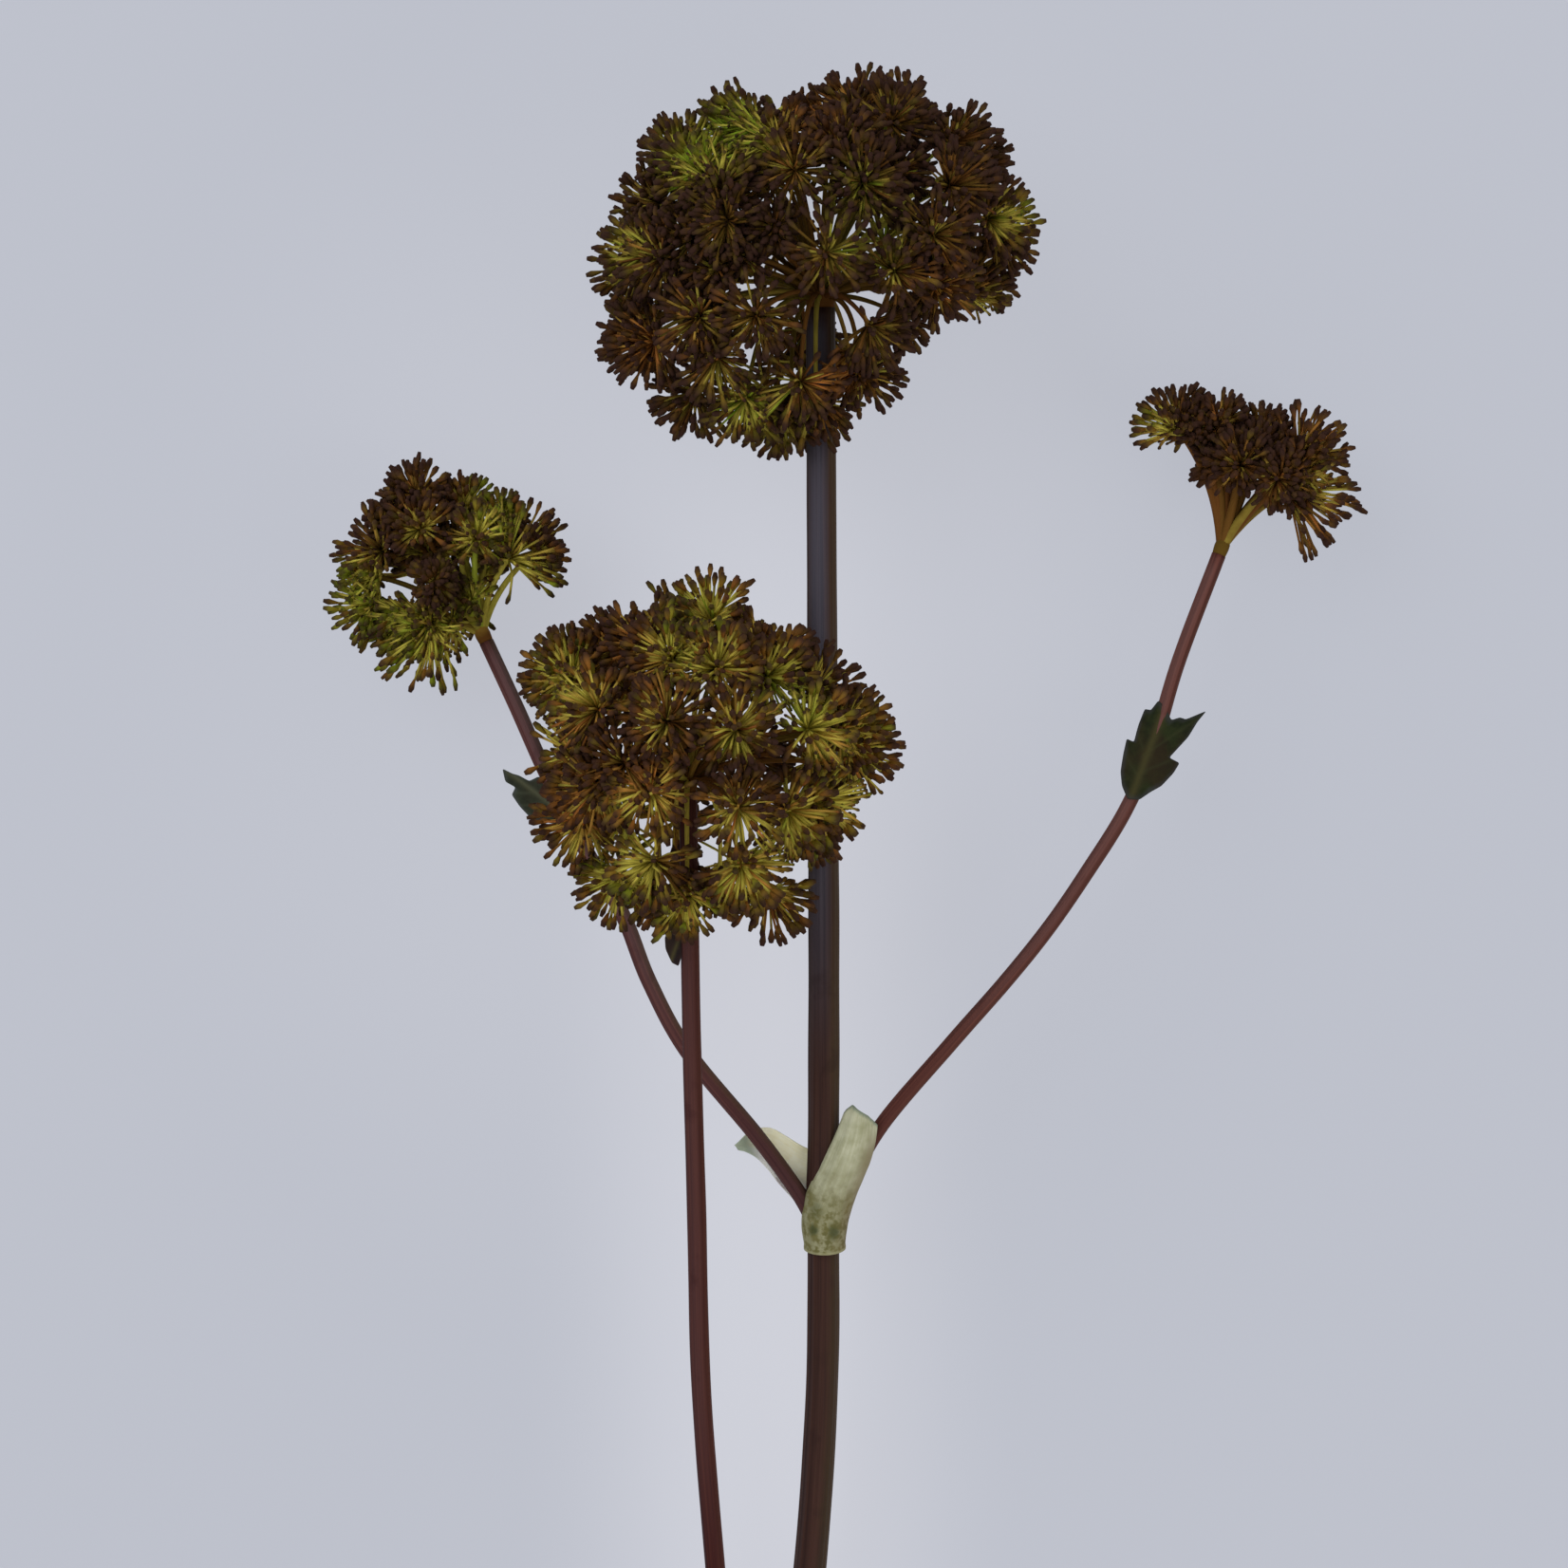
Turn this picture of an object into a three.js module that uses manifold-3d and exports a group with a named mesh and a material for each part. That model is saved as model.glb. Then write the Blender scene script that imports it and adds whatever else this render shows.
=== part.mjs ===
// Dried angelica: one cut stem with three branches and four globe-shaped seed heads, lying on a surface.
// Millimetres. The stem lies along +Y from its cut end, +X is to the right, and +Z is up from the surface.
// Until the last lines, X and Y are measured from the cut end; the group is then centred over the origin.

import * as THREE from 'three';
import { mergeVertices } from 'three/addons/utils/BufferGeometryUtils.js';
import Module from 'manifold-3d';

const wasm = await Module();
wasm.setup();

// Driving dimensions.
const GAP = 0.35; // air between two pieces that meet
const CUTTER_EXTRA = 0.15; // what a stem cuts beyond that gap, since its own sides are flat
const RIB_DEPTH = 0.035; // how high the ribs stand, as a share of a stem's radius
const DEGREE = Math.PI / 180;

// Stems, by node: the points of the centre line, the radius at its two ends, and any swellings.
const STEMS = {
	main_stem: {
		route: [ [ - 8, 0, 5.4 ], [ - 10, 40, 5.5 ], [ - 13, 90, 8.5 ], [ - 13.5, 133, 13 ],
			[ - 9, 185, 19 ], [ - 3.2, 235, 25 ], [ 0.15, 290, 31.5 ], [ 0.4, 345, 38 ],
			[ 0.5, 420, 45.5 ], [ 0, 500, 52.5 ], [ - 0.6, 608, 60.5 ] ],
		radii: [ 5.2, 4.15 ], swellings: [ { at: 133, by: 1.1, over: 12 }, { at: 345, by: 0.35, over: 9 } ],
		ribs: 6, sides: 12, steps: 20,
	},
	front_branch: {
		route: [ [ - 14, 124, 13 ], [ - 21, 146, 20 ], [ - 27.6, 185, 31 ], [ - 31.9, 235, 43 ],
			[ - 35.8, 290, 55 ], [ - 37, 345, 66 ], [ - 38.3, 400, 76 ], [ - 39, 466, 86 ] ],
		radii: [ 3.1, 2.6 ], swellings: [], ribs: 5, sides: 10, steps: 16,
	},
	left_branch: {
		route: [ [ - 0.5, 333, 37 ], [ - 6.5, 345, 38.5 ], [ - 19.5, 363, 40 ], [ - 40, 388, 41 ],
			[ - 51.5, 409, 41 ], [ - 59.5, 429, 40 ], [ - 71.5, 450, 39.5 ], [ - 82.3, 471, 39 ],
			[ - 91.3, 491, 38 ], [ - 100.4, 510.5, 36.5 ] ],
		radii: [ 2.35, 2.15 ], swellings: [], ribs: 4, sides: 8, steps: 16,
	},
	right_branch: {
		route: [ [ 1.5, 331, 36.5 ], [ 7.5, 347, 39 ], [ 17.7, 366, 39.6 ], [ 38.1, 390, 39 ],
			[ 54.9, 409, 38 ], [ 67.9, 425, 36.5 ], [ 79.4, 441.5, 35 ], [ 91.1, 460, 33 ],
			[ 99.4, 479, 31.5 ], [ 107.4, 505, 30 ], [ 119.6, 537, 28.5 ] ],
		radii: [ 2.2, 2.1 ], swellings: [], ribs: 4, sides: 8, steps: 18,
	},
};

// Umbellets: a small knot at the end of a ray, drawn out into stalks that each end in a dark fruit.
// Fruits grow where the knot's side faces outwards by more than its spread, and back down the ray by
// less than bare.
const KNOT = { radius: 1.7, room: 3.2, spread: - 0.32, bare: 0.55 };

// A fruit's belly is given for an umbellet of this reach. Its own reach varies by the three shares.
const FRUIT = { belly: 2.9, bellyAt: 0.79, jitter: 0.14, reach: 15.5, shares: [ 0.88, 0.12, 0.1 ] };

// A ray's radii from its knot to the hub, and how far its bend lies aside and ahead; a ray that turns
// back bends wider.
const RAY = [ { t: 0.92, radius: 0.75 }, { t: 0.5, radius: 0.8 }, { t: 0, radius: 0.95 } ];
const BEND = { aside: 0.34, turningBack: 0.45, ahead: 0.5, rise: 0.12 };

// The hub on a stem's end: places along the stem's axis from there, and what each adds to the radius.
const HUB = {
	profile: [ [ GAP, 0 ], [ 1.4, 0.2 ], [ 3.8, 0.2 ], [ 4.8, - 0.4 ] ],
	tip: 5.8, middle: 2.5, sides: 8,
};

// Degrees by which the knots of the rim and of the tiers stray, the latter's angle shared among the tier.
const STRAY = { rim: 16, tierAngle: 90, tierLevel: 9 };

// Where the seeded draws for an umbellet start, and how many are set apart for each umbellet.
const DRAWS = { spin: 300, fruits: 60, sides: 700, perUmbellet: 20 };

// Heads: the globe's centre and its height to the outermost knots. The rim gives each knot seen at the
// edge from above, as its angle from +X in degrees, its distance and, where it matters, its latitude.
// The tiers give a latitude, a count and the first knot's angle. The sprigs are single knots, measured
// from the centre, each with its own reach.
const HEADS = {
	head_top: {
		stem: 'main_stem', centre: [ - 2, 620.5, 60.5 ], height: 47, reach: 15, seed: 17,
		rim: [ [ 9, 53.5 ], [ 34, 54 ], [ 59, 51.3 ], [ 84, 42.5 ], [ 121, 45 ], [ 141, 50 ], [ 159, 48.5 ],
			[ 181, 52 ], [ 204, 54.5 ], [ 227, 51.5 ], [ 257, 45, 6 ], [ 291, 35.5, 12 ], [ 328, 26 ],
			[ 349, 45 ] ],
		tiers: [ [ 36, 9, 25 ], [ 61, 6, 50 ], [ 86, 1, 0 ], [ - 42, 6, 0 ], [ - 74, 3, 10 ] ], sprigs: [],
	},
	head_front: {
		stem: 'front_branch', centre: [ - 33.4, 474.5, 86 ], height: 41, reach: 15.5, seed: 2,
		rim: [ [ 5, 41 ], [ 33, 36 ], [ 62, 35 ], [ 88, 40.5 ], [ 118, 39.5 ], [ 147, 46 ], [ 177, 37 ],
			[ 205, 39 ], [ 233, 41 ], [ 262, 42, 26 ], [ 295, 41 ], [ 333, 33.5 ] ],
		tiers: [ [ 38, 8, 15 ], [ 66, 4, 35 ], [ - 42, 5, 0 ], [ - 76, 2, 0 ] ], sprigs: [],
	},
	head_left: {
		stem: 'left_branch', centre: [ - 112.4, 528.8, 36 ], seed: 23, rim: [], tiers: [],
		sprigs: [ [ 18.8, 6.4, 4, 19 ], [ - 2.5, - 1, 15, 9 ], [ - 8.2, 25, 3, 12 ], [ 4.7, 21, - 3, 12 ],
			[ - 18.5, 8.6, 5, 15.5 ], [ - 21, - 6.5, 1, 14.5 ], [ - 4.2, - 13.8, 4, 20.5 ],
			[ 15.5, 17.5, 3, 10.5 ], [ 10, 12, 12, 12 ], [ - 6.8, 15, 11, 12.5 ], [ - 8, 3, - 15, 15 ],
			[ 6, - 3, - 14, 14 ] ],
	},
	head_right: {
		stem: 'right_branch', centre: [ 132, 560, 28 ], seed: 20, rim: [], tiers: [],
		sprigs: [ [ - 24.8, 14.7, 2, 14.5 ], [ - 12.7, 15.8, 3, 11.5 ], [ - 16, 11, 4, 9.5 ],
			[ 0.5, 11, - 3, 13 ], [ 10.6, 6.6, 5, 16.5 ], [ 8.6, - 4, 2, 22 ], [ - 7, 3, 11, 13 ],
			[ 4, - 1, 13, 12 ], [ - 5, 4, - 11, 11 ], [ 6, 1, - 12, 13 ] ],
	},
};

// A leaf's outline is measured from its base, X to the right and Y along the plant. Its sides rise by cup
// times the distance from the midrib squared, and its length by lean.
const BLADE_THICKNESS = 0.9;
const BLADE_STEP = 0.01; // the share of a blade over which its slope is taken
const LEAVES = {
	leaf_right: {
		base: [ 92.4, 463.2, 35.6 ], cup: 0.012, lean: - 0.1, ribAngle: 69,
		outline: [ [ - 0.9, 0.4 ], [ 2.6, 0 ], [ 6.1, 2.4 ], [ 9.4, 4.2 ], [ 12.9, 8 ], [ 14.8, 11.1 ],
			[ 11.8, 12.7 ], [ 14.6, 15.7 ], [ 17.4, 18.8 ], [ 20.2, 23.3 ], [ 23.1, 26.8 ], [ 16.9, 24.2 ],
			[ 15.1, 24.8 ], [ 12.5, 24 ], [ 10.8, 27.8 ], [ 8.7, 29.9 ], [ 6.4, 27 ], [ 4.5, 27.3 ],
			[ 2.6, 22.6 ], [ 1.2, 17.4 ], [ - 1, 18.4 ], [ - 2, 14.1 ], [ - 2.9, 8.5 ], [ - 2.5, 4.2 ] ],
	},
	leaf_left: {
		base: [ - 76, 457.8, 38.4 ], cup: 0.02, lean: 0.05, ribAngle: 142,
		outline: [ [ 1.5, - 1 ], [ 1, 3 ], [ - 4.3, 9.6 ], [ - 8.5, 12.5 ], [ - 11.4, 11.1 ],
			[ - 14.5, 12.8 ], [ - 16.4, 13.3 ], [ - 19.4, 14.8 ], [ - 18.5, 10.9 ], [ - 15.5, 9.2 ],
			[ - 16.6, 7 ],
			[ - 14.2, 3.5 ], [ - 11.4, 0.5 ], [ - 8.6, - 1 ], [ - 3.7, - 1.7 ] ],
	},
	bract_front: {
		base: [ - 41.2, 424.5, 80.2 ], cup: 0.02, lean: 0, ribAngle: 250,
		outline: [ [ 0.8, 1 ], [ - 1.8, 1.6 ], [ - 4.6, - 0.6 ], [ - 4.4, - 4.2 ], [ - 2.6, - 8.2 ],
			[ - 0.6, - 9.2 ], [ 0.4, - 6 ], [ 1.2, - 2.4 ] ],
	},
};

// The papery sheath at the upper joint: its middle line, its radius, and the two angles it spans,
// in degrees from straight up and towards +X. It is a collar below and an open sleeve above. The crown
// is how far its top edge rises at shares of the way across, eased in from crownFrom of its length.
const SHEATH = {
	rings: [
		{ centre: [ 0.9, 329.2, 36.6 ], radius: 5.6, span: [ - 140, 140 ] },
		{ centre: [ 0.8, 336.2, 37.4 ], radius: 6.5, span: [ - 114, 128 ] },
		{ centre: [ 1.5, 341.6, 38 ], radius: 6.9, span: [ - 86, 118 ] },
		{ centre: [ 3.2, 347.4, 38.9 ], radius: 7, span: [ - 68, 106 ] },
		{ centre: [ 5.9, 353.6, 40 ], radius: 7, span: [ - 60, 97 ] },
		{ centre: [ 8.4, 359.6, 40.8 ], radius: 6.9, span: [ - 57, 88 ] },
		{ centre: [ 10.3, 364.7, 41.2 ], radius: 6.3, span: [ - 56, 76 ] },
		{ centre: [ 11.3, 367.8, 41.5 ], radius: 5.5, span: [ - 62, 64 ] },
	],
	crown: [ [ 0, 0 ], [ 0.2, 3.2 ], [ 0.65, 1.5 ], [ 1, - 0.7 ] ], crownFrom: 0.6,
	rows: 8, columns: 10,
};

// The open half of the sheath, behind the left branch: its lower and upper edges from the stem to the tip.
const OPEN_SHEATH = {
	lower: [ [ - 1.5, 338.5, 33 ], [ - 8, 343, 33.4 ], [ - 12, 347.2, 33.6 ], [ - 16.4, 352.6, 33.8 ],
		[ - 20.5, 356.6, 34.2 ], [ - 25, 358.6, 35.4 ] ],
	upper: [ [ - 1.5, 357.5, 35.6 ], [ - 6.5, 359.8, 35 ], [ - 11, 362.6, 34.6 ], [ - 16, 365, 34.6 ],
		[ - 21.5, 363.8, 35.2 ], [ - 26, 359.8, 36.4 ] ],
	arch: 1.6, rows: 7, columns: 5,
};

// Calculation: how finely a stem is followed, the ground's slab, and the point below which corners are one.
const STEM_SAMPLES = 120;
const GROUND = { size: [ 600, 1400, 60 ], middle: 400 };
const SAME_CORNER = 1e-5;
const UP = new THREE.Vector3( 0, 0, 1 );
const ASKEW = new THREE.Vector3( 0.3, - 0.2, 0.93 ); // a direction that no stem follows
const HASH = { seed: 127.1, index: 311.7, scale: 43758.5453 };

const vector = ( point ) => new THREE.Vector3( ...point );

const curveThrough = ( points ) =>
	new THREE.CatmullRomCurve3( points.map( vector ), false, 'catmullrom', 0.5 );

// A number from 0 to 1 that depends only on the two given: the seeded draw behind each small irregularity.
function draw( seed, index ) {
	const wave = Math.sin( seed * HASH.seed + index * HASH.index ) * HASH.scale;
	return wave - Math.floor( wave );
}

// The value at a place in a list of [ place, value ], read straight between its neighbours.
function readAt( list, place ) {
	const after = Math.max( 1, list.findIndex( ( [ at ] ) => at >= place ) );
	const [ low, high ] = [ list[ after - 1 ], list[ after ] ];
	return THREE.MathUtils.mapLinear( place, low[ 0 ], high[ 0 ], low[ 1 ], high[ 1 ] );
}

function surface( points, faces ) {
	const geometry = new THREE.BufferGeometry();
	const numbers = points.flatMap( ( point ) => point.toArray() );
	geometry.setAttribute( 'position', new THREE.Float32BufferAttribute( numbers, 3 ) );
	geometry.setIndex( faces );
	return geometry;
}

// A closed skin over rings of points. Each ring runs anticlockwise as seen from the last one's side,
// and a fan round its middle, or round the tip point if one is given, closes each end.
function loft( rings, tip ) {
	const sides = rings[ 0 ].length;
	const middle = ( ring ) =>
		ring.reduce( ( sum, point ) => sum.add( point ), new THREE.Vector3() ).divideScalar( sides );
	const points = [ ...rings.flat(), middle( rings[ 0 ] ), tip ?? middle( rings.at( - 1 ) ) ];
	const last = ( rings.length - 1 ) * sides;
	const faces = [];
	for ( let j = 0; j < sides; j ++ ) {
		const next = ( j + 1 ) % sides;
		for ( let i = 0; i < last; i += sides ) {
			faces.push( i + j, i + next, i + sides + next, i + j, i + sides + next, i + sides + j );
		}
		faces.push( points.length - 2, next, j, points.length - 1, last + j, last + next );
	}
	return surface( points, faces );
}

// A ring of points round a centre, in the plane square to a direction.
function ringAround( centre, direction, radius, sides ) {
	const side = ASKEW.clone().cross( direction ).normalize();
	const upright = direction.clone().cross( side );
	return Array.from( { length: sides }, ( _, k ) => centre.clone()
		.addScaledVector( side, radius * Math.cos( 2 * Math.PI * k / sides ) )
		.addScaledVector( upright, radius * Math.sin( 2 * Math.PI * k / sides ) ) );
}

// A stem's radius at a share t of the way from its root to its head, with the swelling near each joint.
function radiusAt( stem, t, point ) {
	const swelling = ( { at, by, over } ) => by * Math.exp( - ( ( ( point.y - at ) / over ) ** 2 ) );
	const even = THREE.MathUtils.lerp( stem.radii[ 0 ], stem.radii[ 1 ], t );
	return stem.swellings.reduce( ( radius, bulge ) => radius + swelling( bulge ), even );
}

// A stem with shallow ribs along it. As a cutter it is grown by an allowance and has no ribs.
function stemGeometry( stem, allowance = 0 ) {
	const curve = curveThrough( stem.route );
	const frames = curve.computeFrenetFrames( stem.steps, false );
	const ribDepth = allowance ? 0 : RIB_DEPTH;
	const rings = Array.from( { length: stem.steps + 1 }, ( _, i ) => {
		const centre = curve.getPointAt( i / stem.steps );
		const radius = radiusAt( stem, i / stem.steps, centre );
		return Array.from( { length: stem.sides }, ( _, j ) => {
			const angle = 2 * Math.PI * j / stem.sides;
			const out = radius * ( 1 + ribDepth * Math.cos( stem.ribs * angle ) ) + allowance;
			return centre.clone()
				.addScaledVector( frames.normals[ i ], out * Math.cos( angle ) )
				.addScaledVector( frames.binormals[ i ], out * Math.sin( angle ) );
		} );
	} );
	return loft( rings );
}

// A thin closed blade over a middle surface, split alike on both faces. at( u, v ) gives the middle
// surface, with u from 0 at the root to 1 at the tip and v from -1 to 1 across.
function blade( at, rows, columns ) {
	const point = ( i, j, side ) => {
		const u = i / rows;
		const v = 2 * j / columns - 1;
		const along = at( Math.min( u + BLADE_STEP, 1 ), v ).sub( at( Math.max( u - BLADE_STEP, 0 ), v ) );
		const [ left, right ] = [ Math.max( v - BLADE_STEP, - 1 ), Math.min( v + BLADE_STEP, 1 ) ];
		const normal = at( u, right ).sub( at( u, left ) ).cross( along ).normalize();
		return at( u, v ).addScaledVector( normal, side * BLADE_THICKNESS / 2 );
	};
	const index = ( i, j ) => i * ( columns + 1 ) + j;
	const under = ( rows + 1 ) * ( columns + 1 );
	const points = [];
	for ( const side of [ 1, - 1 ] ) {
		for ( let i = 0; i <= rows; i ++ ) {
			for ( let j = 0; j <= columns; j ++ ) points.push( point( i, j, side ) );
		}
	}
	const faces = [];
	for ( let i = 0; i < rows; i ++ ) {
		for ( let j = 0; j < columns; j ++ ) {
			const [ a, b ] = [ index( i, j ), index( i, j + 1 ) ];
			const [ d, c ] = [ index( i + 1, j ), index( i + 1, j + 1 ) ];
			faces.push( a, b, c, a, c, d );
			faces.push( under + a, under + c, under + b, under + a, under + d, under + c );
		}
	}
	const rim = [];
	for ( let j = 0; j < columns; j ++ ) rim.push( index( 0, j ) );
	for ( let i = 0; i < rows; i ++ ) rim.push( index( i, columns ) );
	for ( let j = columns; j > 0; j -- ) rim.push( index( rows, j ) );
	for ( let i = rows; i > 0; i -- ) rim.push( index( i, 0 ) );
	rim.forEach( ( a, n ) => {
		const b = rim[ ( n + 1 ) % rim.length ];
		faces.push( a, under + a, under + b, a, under + b, b );
	} );
	return surface( points, faces );
}

// Joining and cutting.
function solid( geometry ) {
	const bare = geometry.clone();
	bare.deleteAttribute( 'normal' );
	bare.deleteAttribute( 'uv' );
	const merged = mergeVertices( bare, SAME_CORNER );
	return new wasm.Manifold( new wasm.Mesh( {
		numProp: 3,
		vertProperties: Float32Array.from( merged.attributes.position.array ),
		triVerts: Uint32Array.from( merged.index.array ),
	} ) );
}

// The largest body of a cut or joined solid, as a geometry; loose scraps are dropped.
function geometryOf( body ) {
	const largest = body.decompose().reduce( ( a, b ) => ( a.volume() > b.volume() ? a : b ) );
	const { vertProperties, triVerts } = largest.getMesh();
	const geometry = new THREE.BufferGeometry();
	const corners = Float32Array.from( vertProperties );
	geometry.setAttribute( 'position', new THREE.BufferAttribute( corners, 3 ) );
	geometry.setIndex( new THREE.BufferAttribute( Uint32Array.from( triVerts ), 1 ) );
	return geometry;
}

const cutBy = ( body, cutters ) => cutters.reduce( ( rest, cutter ) => rest.subtract( cutter ), body );

// Points along a stem with its radius there, for keeping the fruits clear of it.
function samples( stem ) {
	const curve = curveThrough( stem.route );
	return Array.from( { length: STEM_SAMPLES + 1 }, ( _, i ) => {
		const centre = curve.getPointAt( i / STEM_SAMPLES );
		return { centre, radius: radiusAt( stem, i / STEM_SAMPLES, centre ) };
	} );
}

// The distance of the rim's knots at an angle in degrees, read smoothly between those that are given.
function rimAt( rim, angle ) {
	const turned = ( ( angle % 360 ) + 360 ) % 360;
	const after = rim.findIndex( ( [ place ] ) => place > turned );
	const [ low, high ] = [ rim.at( after - 1 ), rim[ Math.max( after, 0 ) ] ];
	const width = ( ( high[ 0 ] - low[ 0 ] ) % 360 + 360 ) % 360;
	const share = ( ( ( turned - low[ 0 ] ) % 360 + 360 ) % 360 ) / width;
	return THREE.MathUtils.lerp( low[ 1 ], high[ 1 ], ( 1 - Math.cos( share * Math.PI ) ) / 2 );
}

// The knots of a head and their reach: those of the rim, those of each tier, and the single ones.
function knots( head ) {
	const centre = vector( head.centre );
	const places = [];
	const addAt = ( angle, level ) => {
		const out = rimAt( head.rim, angle ) * Math.cos( level * DEGREE );
		places.push( [ out * Math.cos( angle * DEGREE ), out * Math.sin( angle * DEGREE ),
			head.height * Math.sin( level * DEGREE ), head.reach ] );
	};
	const stray = ( width ) => width * ( draw( head.seed, places.length ) - 0.5 );
	head.rim.forEach( ( [ angle, , level ] ) => addAt( angle, level ?? stray( STRAY.rim ) ) );
	for ( const [ level, count, first ] of head.tiers ) {
		for ( let i = 0; i < count; i ++ ) {
			const angle = first + ( i * 360 + stray( STRAY.tierAngle ) ) / count;
			addAt( angle, level + stray( STRAY.tierLevel ) );
		}
	}
	places.push( ...head.sprigs );
	return places.map( ( [ x, y, z, reach ], index ) =>
		( { knot: new THREE.Vector3( x, y, z ).add( centre ), reach, index } ) );
}

// A ray leaves the hub a little along the stem's axis and arches over to its knot, wide of the stem
// if it turns back.
function rayLine( hub, axis, knot ) {
	const span = knot.clone().sub( hub );
	const ahead = span.dot( axis );
	const aside = span.clone().addScaledVector( axis, - ahead );
	const width = BEND.aside * aside.length() + BEND.turningBack * Math.max( - ahead, 0 );
	const bend = hub.clone().addScaledVector( aside.normalize(), width )
		.addScaledVector( axis, BEND.ahead * Math.max( ahead, 0 ) + BEND.rise * span.length() );
	return new THREE.QuadraticBezierCurve3( hub, bend, knot );
}

// The corners of a twenty-sided knot round the origin, and its sides as three corners each.
function knotSides() {
	const ball = new THREE.IcosahedronGeometry( KNOT.radius, 0 );
	ball.deleteAttribute( 'normal' );
	ball.deleteAttribute( 'uv' );
	const { attributes: { position }, index } = mergeVertices( ball );
	const corners = Array.from( { length: position.count }, ( _, i ) =>
		new THREE.Vector3().fromBufferAttribute( position, i ) );
	const sides = Array.from( { length: index.count / 3 }, ( _, i ) =>
		[ 0, 1, 2 ].map( ( k ) => index.getX( 3 * i + k ) ) );
	return { corners, sides };
}

// An umbellet and its ray as one skin: one side of the knot is drawn out down the ray to the hub,
// and those that face outwards into stalks that widen to a fruit and end in a point.
function umbelletGeometry( head, hub, axis, { knot, reach, index }, isClear ) {
	const line = rayLine( hub, axis, knot );
	const back = line.getTangent( 1 ).negate();
	const facing = knot.clone().sub( vector( head.centre ) ).normalize().sub( back ).normalize();
	const { corners, sides } = knotSides();
	const middleOf = ( side ) =>
		side.reduce( ( sum, i ) => sum.add( corners[ i ] ), new THREE.Vector3() ).divideScalar( 3 );

	const toRay = new THREE.Quaternion().setFromUnitVectors( middleOf( sides[ 0 ] ).normalize(), back );
	const turn = 2 * Math.PI * draw( head.seed, index + DRAWS.spin );
	const spin = new THREE.Quaternion().setFromAxisAngle( back, turn );
	corners.forEach( ( corner ) => corner.applyQuaternion( toRay ).applyQuaternion( spin ) );

	const points = corners.map( ( corner ) => corner.clone().add( knot ) );
	const faces = [];
	const collar = ( from, ring ) => {
		const first = points.length;
		points.push( ...ring );
		for ( let k = 0; k < 3; k ++ ) {
			const next = ( k + 1 ) % 3;
			faces.push( from[ k ], from[ next ], first + next, from[ k ], first + next, first + k );
		}
		return [ first, first + 1, first + 2 ];
	};

	sides.forEach( ( side, n ) => {
		const middle = middleOf( side );
		const outward = middle.clone().normalize();
		const offsets = side.map( ( i ) => corners[ i ].clone().sub( middle ) );
		if ( n === 0 ) {
			const last = RAY.reduce( ( ring, { t, radius } ) => {
				const backThere = line.getTangent( t ).negate();
				const swing = new THREE.Quaternion().setFromUnitVectors( back, backThere );
				return collar( ring, offsets.map( ( offset ) => line.getPoint( t ).add(
					offset.clone().applyQuaternion( swing ).setLength( radius ) ) ) );
			}, side );
			faces.push( ...last );
			return;
		}
		const lean = ( k ) => FRUIT.jitter * ( draw( head.seed, index * DRAWS.fruits + n * 3 + k ) - 0.5 );
		const direction = outward.clone().add( vector( [ 0, 1, 2 ].map( lean ) ) ).normalize();
		const [ least, outwards, varied ] = FRUIT.shares;
		const length = reach * ( least + outwards * outward.dot( facing )
			+ varied * draw( head.seed, index * DRAWS.fruits + n ) );
		const tip = knot.clone().addScaledVector( direction, length );
		const width = FRUIT.belly * reach / FRUIT.reach;
		const chance = draw( head.seed, index * DRAWS.perUmbellet + n + DRAWS.sides );
		const isOutside = outward.dot( facing ) > KNOT.spread * chance;
		if ( isOutside && outward.dot( back ) < KNOT.bare && isClear( knot, tip, width ) ) {
			const belly = knot.clone().addScaledVector( direction, FRUIT.bellyAt * length );
			const ring = collar( side, offsets.map(
				( offset ) => offset.clone().setLength( width ).add( belly ) ) );
			points.push( tip );
			for ( let k = 0; k < 3; k ++ ) {
				faces.push( ring[ k ], ring[ ( k + 1 ) % 3 ], points.length - 1 );
			}
		} else {
			faces.push( ...side );
		}
	} );
	return surface( points, faces );
}

// One head: the hub on the stem's end, with its rays, knots and fruits, grown together and resting
// on the ground.
function headGeometry( head, obstacles ) {
	const stem = STEMS[ head.stem ];
	const curve = curveThrough( stem.route );
	const axis = curve.getTangentAt( 1 );
	const hubAt = ( along ) => curve.getPointAt( 1 ).addScaledVector( axis, along );
	const rings = HUB.profile.map( ( [ along, extra ] ) =>
		ringAround( hubAt( along ), axis, stem.radii[ 1 ] + extra, HUB.sides ) );
	const isClear = ( from, to, room ) => {
		const segment = new THREE.Line3( from, to );
		return obstacles.every( ( { centre, radius } ) => {
			const nearest = segment.closestPointToPoint( centre, true, new THREE.Vector3() );
			return nearest.distanceTo( centre ) > radius + room + GAP;
		} );
	};
	const bodies = [ solid( loft( rings, hubAt( HUB.tip ) ) ) ];
	for ( const place of knots( head ) ) {
		if ( isClear( place.knot, place.knot, KNOT.room ) ) {
			bodies.push( solid( umbelletGeometry( head, hubAt( HUB.middle ), axis, place, isClear ) ) );
		}
	}
	const [ width, length, depth ] = GROUND.size;
	const slab = new THREE.BoxGeometry( width, length, depth ).translate( 0, GROUND.middle, - depth / 2 );
	const ground = solid( slab );
	return geometryOf( cutBy( wasm.Manifold.union( bodies ), [ ground, ...Object.values( cutters ) ] ) );
}

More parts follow.
